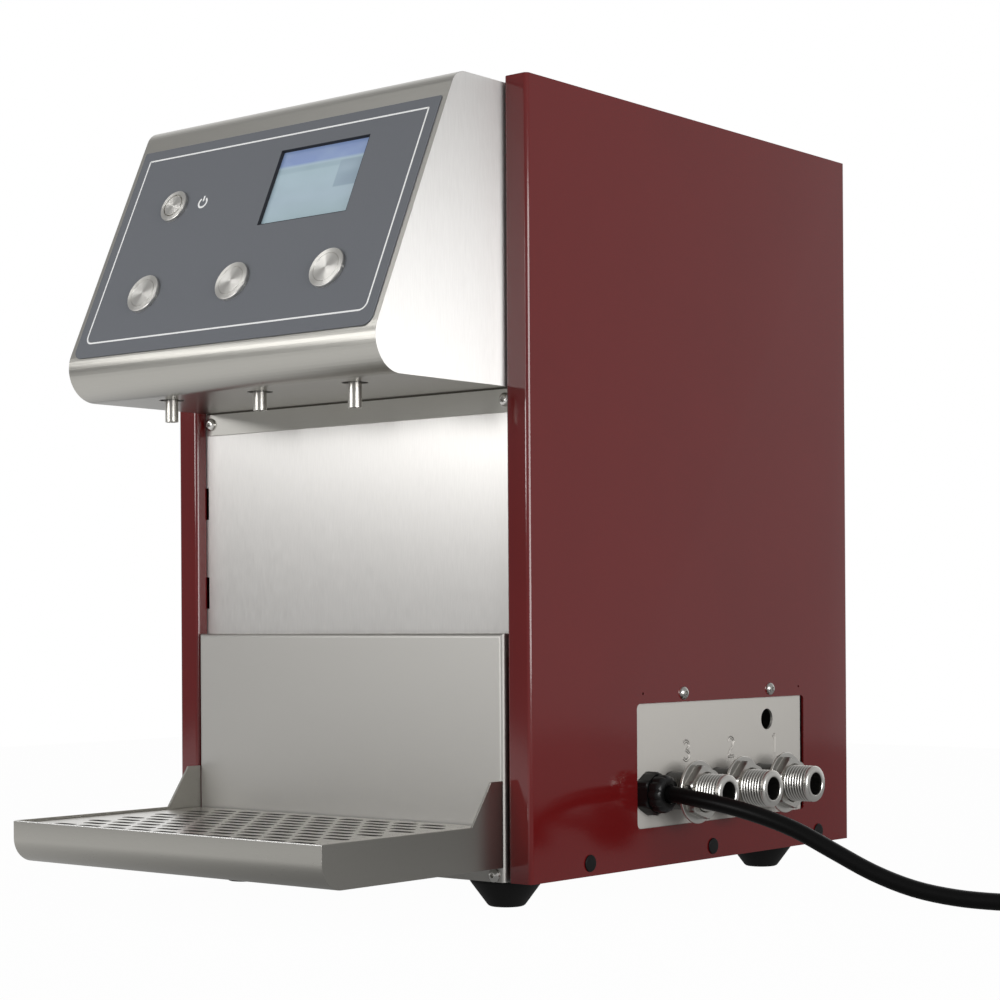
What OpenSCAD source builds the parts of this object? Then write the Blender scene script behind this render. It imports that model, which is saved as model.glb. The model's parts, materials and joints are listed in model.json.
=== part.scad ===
// Countertop dispenser for three hot drinks: a folded steel housing with a slanted control hood
// over a cup bay, push buttons, three spouts, a hanging drip tray and three supply connections.
// Millimetres. X runs to the right, Y to the back, Z up, the floor is Z = 0.

/* [Housing] */
// Width over the two side panels
body_w = 265; // [255:1:300]
// Depth of the side panels
body_d = 316; // [305:1:360]
// Height of the side panels
side_h = 420; // [412:1:440]
// Thickness of the folded sheet
sheet = 1.5; // [1.2:0.1:1.8]
// Outer radius of the sheet bends
bend_r = 2.5; // [2:0.1:3]
// Width of the side panels' flanges, front and rear
flange_w = 15.5; // [12:0.5:16]
// Depth of the return behind each front flange
return_d = 7.5; // [5:0.5:7.5]
// Distance from the flange plane back to the splash panel
splash_y = 8; // [8:0.5:12]
// Height of the panel behind the drip tray
lower_h = 130; // [110:1:140]
// How far that panel stands in front of the flanges
lower_proud = 1; // [0:0.5:3]
// Open gap between the flanges and what stands between them
flange_gap = 2; // [2:0.5:5]
// Height of the upturned edges of the base
base_lip = 14; // [12:1:18]

/* [Hood] */
// Height of the hood's front
hood_h = 158.7; // [150:0.1:165]
// How far the hood's lower front edge reaches out, before rounding
hood_reach = 107; // [100:1:112]
// How far its upper front edge reaches out, before rounding
hood_top_reach = 35.5; // [30:0.5:38]
// How far the hood's top lies below the side panels' top
hood_drop = 2.3; // [1:0.1:4]
// Outer radius of the lower front roll
roll_r = 18; // [12:0.5:20]
// Outer radius of the upper front bend
top_r = 11; // [6:0.5:14]
// Height of the hood's down-turned rear edge
strip_h = 13; // [12:0.5:16]

/* [Controls] */
// Thickness of the printed overlay
overlay_t = 0.6; // [0.4:0.1:0.8]
// Space beside the overlay on the slanted face
overlay_side = 3.5; // [2:0.5:6]
// Height of the overlay's lower edge up the slant
overlay_low = 25; // [24:0.5:30]
// Distance of the overlay's upper edge from the slant's upper corner
overlay_top = 15.5; // [12:0.5:18]
// Spacing of the three drinks, buttons and spouts alike
drink_pitch = 69; // [66:0.5:72]
// Height of the dispense buttons up the slant
button_u = 61.5; // [58:0.5:64]
// Radius of a dispense button's bezel
button_r = 11.2; // [10.5:0.1:12]
// Radius of a dispense button's barrel
barrel_r = 9.4; // [9:0.1:9.7]
// Radius of a dispense button's cap
cap_r = 8.2; // [7.5:0.1:8.4]
// Radius of the power button's bezel
power_r = 9.4; // [9:0.1:10]
// Radius of the power button's barrel
power_barrel_r = 7.9; // [7.6:0.1:8.2]
// Radius of the power button's cap
power_cap_r = 6.4; // [5.8:0.1:6.8]
// Distance of the power button from the slant's upper corner
power_down = 57; // [52:0.5:62]
// Height of the bezels
bezel_h = 2; // [1.5:0.1:3]
// Travel of the caps
button_travel = 1.6; // [1:0.1:2]
// Radial running gap round a cap
cap_gap = 0.06; // [0.02:0.01:0.1]
// Length of the barrels behind the panel
barrel_l = 20; // [18:0.5:22]
// Middle of the display, from the middle of the hood
display_x = 36; // [34:0.5:38]
// Distance of the display's middle from the slant's upper corner
display_down = 55; // [54:0.5:57]
// Width of the display opening
display_w = 64.5; // [60:0.5:66]
// Height of the display opening
display_h = 46.5; // [42:0.5:48]

/* [Drink path] */
// Outer radius of a spout
spout_r = 3.6; // [3.5:0.1:4.5]
// Wall of the spouts and tubes
tube_wall = 1; // [0.8:0.1:1.2]
// Length of the longest spout below the hood
spout_drop = 13; // [8:0.5:18]
// Distance of the spouts in front of the flange plane
spout_reach = 63; // [60:0.5:66]
// Radius of the hole round a spout
spout_hole_r = 7; // [6:0.1:8]
// Height of the valve ports above the hood's underside
port_h = 26; // [24:0.5:28]
// Outer radius of the inner tubes
tube_r = 5; // [4:0.1:5.5]
// Bend radius of the inner tubes
tube_bend = 10; // [8:0.5:12]
// Width of the heater block
block_w = 170; // [160:1:180]
// Depth of the heater block
block_d = 110; // [108:1:120]
// Height of the heater block
block_h = 180; // [170:1:185]
// Gap from the heater block to the rear panel
block_back = 86; // [80:1:95]
// Height of the stand under the heater block, above the base
stand_h = 122; // [118:1:126]

/* [Connections] */
// Outer radius of the inlet thread
thread_r = 10.475; // [10.3:0.025:10.6]
// Bore radius of the inlets
inlet_bore_r = 7; // [6:0.1:7.4]
// Reach of the inlets outside the side panel
inlet_reach = 37.5; // [34:0.5:40]
// Spacing of the inlets
inlet_pitch = 45; // [40:0.5:46]
// Distance of the middle inlet behind the flange plane
inlet_y = 172.5; // [170:0.5:175]
// Height of the inlets and the gland above the base
inlet_h = 41; // [40:0.5:42]
// Distance of the cable gland behind the flange plane
gland_y = 104; // [104:0.5:105]
// Radius of the nut's flats
nut_flat = 13.5; // [12.5:0.1:14]
// Thickness of the nuts on the inlets
nut_t = 5; // [4:0.5:6]
// Radius of the washers on the inlets
washer_r = 17.5; // [16:0.5:17.5]
// Thickness of the washers
washer_t = 1.7; // [1:0.1:2]
// Gap between the side panel and the washers
washer_off = 15.8; // [15:0.1:17]
// Front edge of the opening in the right side panel
cut_y = 93.3; // [90:0.1:93.5]
// Length of that opening
cut_w = 171; // [168:0.5:176]
// Height of its lower edge above the base
cut_z = 21.8; // [20:0.1:22]
// Height of the opening
cut_h = 68.7; // [66:0.1:72]
// Corner radius of the opening
cut_r = 3; // [1:0.5:5]
// Gap at the rear end of the connection plate in the opening
plate_gap = 1.8; // [1:0.1:2]
// Radius of the spare hole in the connection plate
spare_r = 6.2; // [5:0.1:7]

/* [Drip tray] */
// How far the tray reaches in front of the flange plane
tray_reach = 137; // [130:1:145]
// Height of the tray's bottom above the base
tray_low = 7.8; // [6:0.1:12]
// Depth of the tray's front wall
tray_h = 22.8; // [20:0.1:26]
// Outer radius of the tray's front bottom edge
tray_roll = 13.5; // [8:0.5:15]
// Wall of the tray and the grille
tray_t = 1.2; // [1:0.1:1.5]
// Height of the rear ears above the tray's rim
ear_h = 22.5; // [15:0.5:26]
// Depth of an ear at its top
ear_top = 9.5; // [5:0.5:12]
// Depth of an ear at its foot
ear_foot = 25.5; // [18:0.5:28]
// How far the tray lifts to unhook
tray_lift = 9; // [8.6:0.1:10]
// Spacing of the grille's slots along the front
slot_pitch = 19.7; // [18:0.1:24]
// Spacing of the rows of slots
slot_row = 12; // [11:0.1:14]
// Length of a slot
slot_l = 16; // [12:0.1:16]
// Width of a slot
slot_w = 6; // [4:0.1:7]

/* [Feet] */
// Height of the rubber feet
foot_h = 15; // [12:0.5:18]
// Radius of a foot at its top
foot_r = 19.5; // [16:0.5:20]
// Radius of a foot on the floor
foot_low_r = 9.5; // [8:0.5:11]
// Distance of the feet from the sides
foot_side = 33; // [28:0.5:34]
// Distance of the front feet behind the flange plane
foot_front = 20; // [20:0.5:24]
// Distance of the rear feet from the back
foot_back = 49; // [40:0.5:55]

/* [Hidden] */
$fn = 48;

// Colours
wine_red = "#6b2a2b";
steel = "#c9c8c4";
satin = "#a3a29d";
dark_steel = "#7b7870";
slate = "#686b70";
black = "#161616";

// Screws: button heads of 4 mm machine screws
head_r = 3.8;
head_h = 2.2;
shank_r = 2;
hole_r = 2.25;
socket_r = 1.4;
socket_d = 1.2;
screw_l = 9;

// Planes of the housing
wx = body_w / 2;
in_x = wx - sheet;
flange_x = wx - flange_w;
hood_w = 2 * (flange_x - flange_gap);
hood_x = hood_w / 2;
base_z = foot_h;
floor_z = base_z + sheet;
side_top = base_z + side_h;
hood_top = side_top - hood_drop;
under_z = hood_top - hood_h;
deck_z = under_z + sheet;
lower_y = -lower_proud;
lower_in = lower_y + sheet;
lower_top = base_z + lower_h;
rear_in = body_d - sheet;
splash_in = splash_y + sheet;
splash_low = lower_top - 12;
splash_top = under_z + 8;
strip_low = under_z - strip_h;

// The slanted face, from its lower front corner before rounding
slant = atan2(hood_h, hood_reach - hood_top_reach);
slant_l = norm([hood_h, hood_reach - hood_top_reach]);
overlay_h = slant_l - overlay_low - overlay_top;
display_u = slant_l - display_down;
power_u = slant_l - power_down;

// Screw places
strip_screw_x = hood_x - head_r + 0.3;
strip_screw_z = under_z - strip_h / 2;
lower_screw_x = hood_x - bend_r - head_r;
rear_screw_x = wx - flange_w / 2;
rear_screw_z = [base_z + 45, base_z + side_h / 2, side_top - 45];
plate_screw_front = 44.5;
plate_screw_back = 37.5;
plate_screw_up = 4.8;
plate_screw_y = [cut_y + plate_screw_front, cut_y + cut_w - plate_screw_back];
plate_screw_z = base_z + cut_z + cut_h + plate_screw_up;
rivet_in = 5.8;
rivet_up = 0.7;
rivet_r = 0.8;
rivet_y = [cut_y + rivet_in, cut_y + cut_w - rivet_in];

// Plugs over the screws that hold the side panels to the base
plug_r = 4.6;
plug_t = 1;
plug_stem_r = 3.4;
plug_hole_r = 3.6;
plug_l = 6;
plug_y = [50, body_d / 2 + 8, body_d - 36];
plug_z = base_z + 7;

// The part's origin is the middle of its own box on the floor: the inlets stand out on the right,
// the plugs on the left, the tray at the front and the rear screws' heads at the back
shift_x = (plug_t - inlet_reach) / 2;
shift_y = (tray_reach - body_d - head_h) / 2;

// Slots that hang the splash panel on the side panels
key_w = 3.8;
key_l = 18.5;
key_first = 14.7;
key_second = 67;
key_in = 0.3;
key_z = [lower_top + key_first, lower_top + key_second];

// Drink places
drink_x = [-drink_pitch, 0, drink_pitch];
spout_drops = [spout_drop - 1, spout_drop - 3, spout_drop];
port_z = under_z + port_h;
valve_w = 26;
valve_front = -20;
valve_back = 16;
valve_h = 28;
valve_bottom = port_z - valve_h / 2;
coil_r = 13;
coil_h = 32;
bracket_t = 2;
block_y1 = rear_in - block_back;
block_y0 = block_y1 - block_d;
block_z = floor_z + stand_h;
feed_z = block_z + 20;
element_r = 6.25;
element_depth = 150;
element_top = 12;
sensor_r = 3;
sensor_depth = 60;
fit_gap = 0.15;

// Connections
inlet_ys = [for (i = [1, 0, -1]) inlet_y + i * inlet_pitch];
inlet_z = base_z + inlet_h;
plate_x = in_x;
plate_in = plate_x - sheet;
inlet_end = wx + inlet_reach;
collar_r = 12;
collar_t = 8;
spigot_r = 6.5;
spigot_l = 8;
relief_w = 1;
relief_d = 0.5;
inlet_in = plate_in - collar_t - spigot_l;
nut_face = wx + washer_off + washer_t + nut_t;
gland_r = 12;
gland_flat = 10.4;
gland_body_l = 8;
dome_r = 10.5;
dome_l = 7.5;
gland_thread_r = 8;
gland_face = plate_x + gland_body_l;
gland_end = gland_face + dome_l;

// Drip tray
tray_z = base_z + tray_low;
rim_z = tray_z + tray_h;
tray_back = lower_y - 0.3;
grille_z = rim_z - 1.5;
ledge_z = grille_z - tray_t;
ledge_w = 6;
ledge_l = 15;
hook_x = 80;
hook_w = 16;
hook_z = ledge_z - tray_lift - tray_t - 0.6;
hook_drop = 8;
hook_back = lower_in + 4.5;
grille_gap = 1;
grille_edge = 7;
tray_screw_gap = 0.4;
lower_screw_z = tray_z - head_r - tray_screw_gap;

// Cord: where it runs free, from the gland down to the floor, chosen by hand: the distances from
// the gland along X and Y, and the share of the gland's height above the lying cord
cord_d = 9;
cord_lie = 6;
cord_run = [[0, 0, 1], [11, 0, 1], [23, 0, 0.97], [43, 1, 0.91], [63, 3.5, 0.82], [83, 8, 0.68],
            [103, 13.5, 0.47], [123, 19.5, 0.26], [143, 26, 0.11], [163, 33.5, 0.03], [183, 41.5, 0],
            [203, 50, 0], [221, 57, 0], [235, 60.8, 0], [247, 62, 0], [257, 62, 0]];
cord_route = [for (p = cord_run)
    [gland_face + p[0], gland_y + p[1], cord_lie + (inlet_z - cord_lie) * p[2]]];
// Cord: the coil that the rest is wound into, two layers of turns a pitch apart
coil_outer = 62;
coil_pitch = 9.6;
coil_turns = 2.5;
coil_step = 15;
coil_end = cord_route[len(cord_route) - 1];
coil_centre = [coil_end[0] + cord_d, coil_end[1] + coil_outer];
coil_inner = coil_outer - coil_turns * coil_pitch;
coil_in_a = 360 * coil_turns;
coil_all_a = 2 * coil_in_a + 180;
tail_l = 62;
tie_w = 6;
tie_t = 1.2;

// Small helpers

function unit(v) = v / norm(v);

// A convex outline moved inwards by d
function inset(pts, d) =
    let (n = len(pts))
    [for (i = [0 : n - 1])
        let (a = unit(pts[(i + n - 1) % n] - pts[i]), b = unit(pts[(i + 1) % n] - pts[i]))
        pts[i] + unit(a + b) * d / sin(acos(a * b) / 2)];

// A convex outline with a true arc of the given radius at each corner
module filleted(pts, rad) {
    n = len(pts);
    corner = [for (i = [0 : n - 1])
        let (a = unit(pts[(i + n - 1) % n] - pts[i]),
             b = unit(pts[(i + 1) % n] - pts[i]),
             half = acos(a * b) / 2,
             t = rad[i] / tan(half))
        [pts[i] + a * t, pts[i] + b * t, pts[i] + unit(a + b) * rad[i] / sin(half)]];
    polygon([for (i = [0 : n - 1]) each (rad[i] > 0 ? [corner[i][0], corner[i][1]] : [pts[i]])]);
    for (i = [0 : n - 1])
        if (rad[i] > 0)
            intersection() {
                translate(corner[i][2]) circle(rad[i]);
                polygon([corner[i][0], pts[i], corner[i][1]]);
            }
}

function box_pts(x0, y0, x1, y1) = [[x0, y0], [x1, y0], [x1, y1], [x0, y1]];

module rounded_box2(x0, y0, x1, y1, r) {
    filleted(box_pts(x0, y0, x1, y1), [r, r, r, r]);
}

// A block between two corners
module block(low, high) {
    translate(low) cube(high - low);
}

// Everything is drawn about the middle of the front flange plane and moved to the part's origin
module at_body() {
    translate([shift_x, shift_y, 0]) children();
}

// A 2-D outline in (Y, Z), drawn out along X about the middle
module along_x(w) {
    translate([-w / 2, 0, 0]) rotate([90, 0, 90]) linear_extrude(w) children();
}

// A 2-D outline in (Y, Z), drawn out from X = x0 by t
module from_x(x0, t) {
    translate([x0, 0, 0]) rotate([90, 0, 90]) linear_extrude(t) children();
}

// A 2-D outline in (X, Z), drawn out from Y = y0 backwards by t
module from_y(y0, t) {
    translate([0, y0 + t, 0]) rotate([90, 0, 0]) linear_extrude(t) children();
}

// Local frame on the slanted face: X along the hood, Y up the slant, Z straight out of the face
module on_slant(x, u) {
    translate([0, -hood_reach, under_z]) rotate([slant, 0, 0]) translate([x, u, 0]) children();
}

module along_plus_x() {
    rotate([0, 90, 0]) children();
}

// A button-head screw, its head above z = 0 and its shank below
module button_screw(l) {
    difference() {
        union() {
            rotate_extrude() polygon([[0, 0], [head_r, 0], [head_r * 0.93, head_h * 0.45],
                                      [head_r * 0.68, head_h * 0.85], [head_r * 0.4, head_h], [0, head_h]]);
            translate([0, 0, -l]) cylinder(r = shank_r, h = l);
        }
        translate([0, 0, head_h - socket_d]) cylinder(r = socket_r, h = socket_d + 1, $fn = 6);
    }
}

// A hexagonal nut with its bore, from z = 0 upwards
module hex_nut(flat, t, bore) {
    difference() {
        cylinder(r = flat / cos(30), h = t, $fn = 6);
        translate([0, 0, -1]) cylinder(r = bore, h = t + 2);
    }
}

// A quarter bend of a round bar about the local Z axis, from local X to local Y
module quarter(bend, r) {
    rotate_extrude(angle = 90) translate([bend, 0]) circle(r);
}

// Housing

// Plan of the right side panel: one sheet with a flange and a return at the front and a flange at the back
module side_plan() {
    outer = box_pts(flange_x, 0, wx, body_d);
    difference() {
        filleted(outer, [bend_r, bend_r, bend_r, 0]);
        filleted(inset(outer, sheet), [bend_r - sheet, bend_r - sheet, bend_r - sheet, 0]);
        translate([flange_x - 1, return_d]) square([sheet + 2, body_d - return_d - sheet]);
    }
}

module plug_holes() {
    for (y = plug_y)
        translate([flange_x + sheet + 1, y, plug_z]) along_plus_x() cylinder(r = plug_hole_r, h = flange_w);
}

module rear_screw_holes() {
    for (z = rear_screw_z)
        translate([rear_screw_x, body_d - return_d + 1, z]) rotate([-90, 0, 0])
            cylinder(r = hole_r, h = return_d);
}

module side_shell() {
    difference() {
        translate([0, 0, base_z]) linear_extrude(side_h) side_plan();
        plug_holes();
        rear_screw_holes();
    }
}

module side_panel_left() {
    color(wine_red) at_body() mirror([1, 0, 0]) side_shell();
}

module side_panel_right() {
    color(wine_red) at_body() difference() {
        side_shell();
        from_x(wx - flange_w / 2, flange_w)
            rounded_box2(cut_y, base_z + cut_z, cut_y + cut_w, base_z + cut_z + cut_h, cut_r);
        for (y = plate_screw_y)
            translate([wx - flange_w / 2, y, plate_screw_z]) along_plus_x()
                cylinder(r = hole_r, h = flange_w);
        for (y = rivet_y)
            translate([wx - flange_w / 2, y, plate_screw_z + rivet_up]) along_plus_x()
                cylinder(r = rivet_r, h = flange_w);
    }
}

module foot_places() {
    for (sx = [-1, 1], y = [foot_front, body_d - foot_back])
        translate([sx * (wx - foot_side), y, 0]) children();
}

// Folded base: a floor with an upturned edge at both sides and at the front
module base_plate() {
    front_x = hood_x - sheet - 1.5;
    color(steel) at_body() difference() {
        union() {
            block([-in_x, splash_in, base_z], [in_x, rear_in - sheet, floor_z]);
            block([-front_x, lower_in, base_z], [front_x, splash_in, floor_z]);
            block([-front_x, lower_in, base_z], [front_x, lower_in + sheet, base_z + base_lip]);
            for (x = [-in_x, in_x - sheet])
                block([x, splash_in, base_z], [x + sheet, rear_in - sheet, base_z + base_lip]);
        }
        foot_places() translate([0, 0, base_z - 1]) cylinder(r = hole_r, h = sheet + 2);
        plug_holes();
        mirror([1, 0, 0]) plug_holes();
        for (sx = [-1, 1])
            translate([sx * lower_screw_x, lower_in - 1, lower_screw_z]) rotate([-90, 0, 0])
                cylinder(r = hole_r, h = sheet + 2);
    }
}

// Top cover behind the hood, with edges turned down along the side panels and the back
module top_panel() {
    edge = 12;
    color(steel) at_body() difference() {
        block([-in_x, splash_y, hood_top - edge], [in_x, rear_in - sheet, hood_top]);
        block([-in_x + sheet, splash_y - 1, hood_top - edge - 1],
              [in_x - sheet, rear_in - 2 * sheet, hood_top - sheet]);
        for (sx = [-1, 1])
            block([sx * in_x - flange_w, splash_y - 1, hood_top - edge - 1],
                  [sx * in_x + flange_w, splash_in + 1, hood_top - sheet]);
    }
}

// Rear cover behind the side panels' rear flanges, with two fields of ventilation slots
module rear_panel() {
    vent_l = 46;
    vent_w = 4;
    vent_pitch = 10;
    vent_n = 11;
    vent_z = [base_z + 75, side_top - 95];
    color(satin) at_body() difference() {
        from_y(rear_in - sheet, sheet) difference() {
            translate([-in_x + 1, floor_z + 1]) square([2 * in_x - 2, hood_top - sheet - floor_z - 2]);
            for (z = vent_z, i = [0 : vent_n - 1]) {
                translate([(i - (vent_n - 1) / 2) * vent_pitch, z]) {
                    translate([-vent_w / 2, -vent_l / 2]) square([vent_w, vent_l]);
                    for (s = [-1, 1]) translate([0, s * vent_l / 2]) circle(vent_w / 2);
                }
            }
            for (sx = [-1, 1], z = rear_screw_z) translate([sx * rear_screw_x, z]) circle(hole_r);
        }
        block([-in_x - 1, rear_in - sheet - 1, hood_top - 14], [in_x + 1, rear_in - sheet, hood_top]);
    }
}

module rear_screws() {
    color("silver") at_body()
        for (sx = [-1, 1], z = rear_screw_z)
            translate([sx * rear_screw_x, body_d, z]) rotate([-90, 0, 0]) button_screw(screw_l);
}

// Flat splash panel behind the cup bay, with slots beside the flanges' returns
module splash_panel() {
    color(steel) at_body() from_y(splash_y, sheet) difference() {
        translate([-in_x + 1, splash_low]) square([2 * in_x - 2, splash_top - splash_low]);
        for (sx = [-1, 1]) {
            translate([sx * strip_screw_x, strip_screw_z]) circle(hole_r);
            for (z = key_z)
                translate([sx * (flange_x + key_in) - key_w / 2, z]) square([key_w, key_l]);
        }
    }
}

module splash_screws() {
    color("silver") at_body()
        for (sx = [-1, 1])
            translate([sx * strip_screw_x, splash_y - sheet, strip_screw_z]) rotate([90, 0, 0])
                button_screw(screw_l - 2);
}

// Panel behind the drip tray: a front folded back along its top and sides, slotted for the tray's hooks
module lower_panel() {
    plan = box_pts(-hood_x, lower_y, hood_x, splash_y);
    plan_open = box_pts(-hood_x, lower_y, hood_x, splash_y + 20);
    side = box_pts(lower_y, base_z, splash_y, lower_top);
    side_open = box_pts(lower_y, base_z - 20, splash_y + 20, lower_top);
    r = bend_r;
    color(satin) at_body() difference() {
        intersection() {
            translate([0, 0, base_z]) linear_extrude(lower_h) filleted(plan, [r, r, 0, 0]);
            along_x(hood_w) filleted(side, [0, 0, 0, r]);
        }
        intersection() {
            translate([0, 0, base_z - 1]) linear_extrude(lower_h)
                filleted(inset(plan_open, sheet), [r - sheet, r - sheet, 0, 0]);
            along_x(hood_w) filleted(inset(side_open, sheet), [0, 0, 0, r - sheet]);
        }
        for (sx = [-1, 1]) {
            translate([sx * lower_screw_x, lower_y - 1, lower_screw_z]) rotate([-90, 0, 0])
                cylinder(r = hole_r, h = sheet + 2);
            block([sx * hook_x - hook_w / 2 - 0.4, lower_y - 1, hook_z],
                  [sx * hook_x + hook_w / 2 + 0.4, lower_in + 1, hook_z + tray_t + tray_lift + 0.6]);
        }
    }
}

module lower_panel_screws() {
    color("silver") at_body()
        for (sx = [-1, 1])
            translate([sx * lower_screw_x, lower_y, lower_screw_z]) rotate([90, 0, 0])
                button_screw(screw_l);
}

// Hood

function hood_pts(back) =
    [[-hood_reach, under_z], [back, under_z], [back, hood_top], [-hood_top_reach, hood_top]];

module drink_holes(r, l) {
    for (x = drink_x) on_slant(x, button_u) translate([0, 0, -l]) cylinder(r = r, h = 2 * l);
}

module control_holes(l) {
    drink_holes(barrel_r + fit_gap, l);
    on_slant(drink_x[0], power_u) translate([0, 0, -l]) cylinder(r = power_barrel_r + fit_gap, h = 2 * l);
    on_slant(display_x, display_u)
        block([-display_w / 2, -display_h / 2, -l], [display_w / 2, display_h / 2, l]);
}

// Wedge-shaped hood, one wrapped sheet with closed ends, open to the housing behind it, with
// a down-turned edge that is screwed to the splash panel through slots open to the sides
module hood_shell() {
    color(steel) at_body() difference() {
        union() {
            difference() {
                along_x(hood_w) filleted(hood_pts(splash_y), [roll_r, 0, 0, top_r]);
                along_x(hood_w - 2 * sheet)
                    filleted(inset(hood_pts(splash_y + 30), sheet), [roll_r - sheet, 0, 0, top_r - sheet]);
            }
            block([-hood_x, splash_y - sheet, strip_low], [hood_x, splash_y, deck_z]);
        }
        for (sx = [-1, 1]) {
            translate([sx * strip_screw_x, splash_y - sheet - 1, strip_screw_z]) rotate([-90, 0, 0])
                cylinder(r = hole_r, h = sheet + 2);
            ends = [sx * strip_screw_x, sx * (hood_x + 1)];
            block([min(ends), splash_y - sheet - 1, strip_screw_z - hole_r],
                  [max(ends), splash_y + 1, strip_screw_z + hole_r]);
        }
        for (x = drink_x)
            translate([x, -spout_reach, under_z - 1]) cylinder(r = spout_hole_r, h = sheet + 2);
        control_holes(sheet * 2);
    }
}

// Printed film on the slanted face, round at its lower corners
module control_overlay() {
    w = hood_w - 2 * overlay_side;
    color(slate) at_body() difference() {
        on_slant(0, overlay_low) linear_extrude(overlay_t)
            filleted(box_pts(-w / 2, 0, w / 2, overlay_h), [6, 6, 1, 1]);
        control_holes(sheet * 2);
    }
}

// Clear window behind the display opening
window_t = 2;
window_edge = 3;

module display_window() {
    color("#9fb4bf") at_body() on_slant(display_x, display_u) translate([0, 0, -sheet - window_t])
        linear_extrude(window_t)
            rounded_box2(-display_w / 2 - window_edge, -display_h / 2 - window_edge,
                         display_w / 2 + window_edge, display_h / 2 + window_edge, 2);
}

module_t = 7;
board_z = -sheet - window_t - module_t - 4;
board_t = 1.6;
board_w = 100;
board_gap = 5;
board_low = button_u + barrel_r + board_gap;
board_top = display_u + display_h / 2 + 2 * window_edge;
board_h = board_top - board_low;
board_u = (board_low + board_top) / 2;
relay_w = 16;
relay_d = 20;
relay_h = 14;
relay_pitch = 24;
relay_u = 4;
plug_row_w = 72;
plug_row_d = 8;
plug_row_h = 9;
plug_row_in = 8;
post_r = 3;
post_in = 6;

// Display unit behind the window: a frame with its raised back cover
module display_module() {
    w = display_w + 2 * window_edge;
    h = display_h + 2 * window_edge;
    color("#2a2d30") at_body() on_slant(display_x, display_u)
        translate([0, 0, -sheet - window_t - module_t]) union() {
            translate([0, 0, module_t - 4]) linear_extrude(4)
                rounded_box2(-w / 2, -h / 2, w / 2, h / 2, 1);
            block([-w / 2 + 5, -h / 2 + 5, 0], [w / 2 - 5, h / 2 - 5, module_t - 4]);
        }
}

module post_places() {
    for (sx = [-1, 1], su = [-1, 1])
        on_slant(display_x + sx * (board_w / 2 - post_in), board_u + su * (board_h / 2 - post_in))
            children();
}

// Control board with a relay for each drink and the connectors behind the display
module control_board() {
    color("#2f6b45") at_body() on_slant(display_x, board_u) union() {
        translate([0, 0, board_z - board_t]) linear_extrude(board_t)
            rounded_box2(-board_w / 2, -board_h / 2, board_w / 2, board_h / 2, 2);
        for (i = [-1, 0, 1])
            block([i * relay_pitch - relay_w / 2, relay_u, board_z - board_t - relay_h],
                  [i * relay_pitch + relay_w / 2, relay_u + relay_d, board_z - board_t]);
        block([-plug_row_w / 2, plug_row_in - board_h / 2, board_z - board_t - plug_row_h],
              [plug_row_w / 2, plug_row_in + plug_row_d - board_h / 2, board_z - board_t]);
    }
}

module board_standoffs() {
    color("silver") at_body() post_places() translate([0, 0, board_z])
        cylinder(r = post_r, h = -sheet - board_z);
}

// Push buttons: a bezel and barrel through the panel, a sliding cap with its stem, a nut behind

cap_t = 5.5;
stem_r = 2.5;
floor_gap = 0.5;

module button_body(head, barrel, cap) {
    floor_top = overlay_t + bezel_h - cap_t - button_travel - floor_gap;
    difference() {
        union() {
            translate([0, 0, overlay_t]) rotate_extrude()
                polygon([[0, 0], [head, 0], [head, bezel_h * 0.5], [head - 0.9, bezel_h], [0, bezel_h]]);
            translate([0, 0, -barrel_l]) cylinder(r = barrel, h = barrel_l + overlay_t + 0.5);
        }
        translate([0, 0, floor_top]) cylinder(r = cap + cap_gap, h = 30);
        translate([0, 0, -barrel_l - 1]) cylinder(r = stem_r + cap_gap, h = 30);
    }
}

module button_cap(cap) {
    top = overlay_t + bezel_h;
    translate([0, 0, top - cap_t]) cylinder(r = cap, h = cap_t);
    translate([0, 0, -barrel_l + 2]) cylinder(r = stem_r, h = barrel_l - 2);
}

module power_button_body() {
    color("silver") at_body() on_slant(drink_x[0], power_u)
        button_body(power_r, power_barrel_r, power_cap_r);
}

module power_button_cap() {
    color("silver") at_body() on_slant(drink_x[0], power_u) button_cap(power_cap_r);
}

module dispense_button_body(i) {
    color("silver") at_body() on_slant(drink_x[i], button_u) button_body(button_r, barrel_r, cap_r);
}

module dispense_button_cap(i) {
    color("silver") at_body() on_slant(drink_x[i], button_u) button_cap(cap_r);
}

module button_nuts() {
    nut_l = 3;
    color("silver") at_body() {
        for (x = drink_x)
            on_slant(x, button_u) translate([0, 0, -sheet - nut_l])
                hex_nut(barrel_r + 2.2, nut_l, barrel_r + fit_gap);
        on_slant(drink_x[0], power_u) translate([0, 0, -sheet - nut_l])
            hex_nut(power_barrel_r + 2, nut_l, power_barrel_r + fit_gap);
    }
}

// Drink path

// Spout: a tube from the valve's port forwards and down through the underside
module spout_bar(r, drop, extra) {
    elbow_y = -spout_reach + tube_bend;
    elbow_z = port_z - tube_bend;
    low = under_z - drop - extra;
    translate([0, -spout_reach, low]) cylinder(r = r, h = elbow_z - low);
    translate([0, elbow_y, elbow_z]) rotate([90, 0, 90]) rotate([0, 0, 90]) quarter(tube_bend, r);
    translate([0, elbow_y, port_z]) rotate([-90, 0, 0]) cylinder(r = r, h = valve_front - elbow_y + extra);
}

module spout(i) {
    color("silver") at_body() translate([drink_x[i], 0, 0]) difference() {
        spout_bar(spout_r, spout_drops[i], 0);
        spout_bar(spout_r - tube_wall, spout_drops[i], 1);
    }
}

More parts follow.
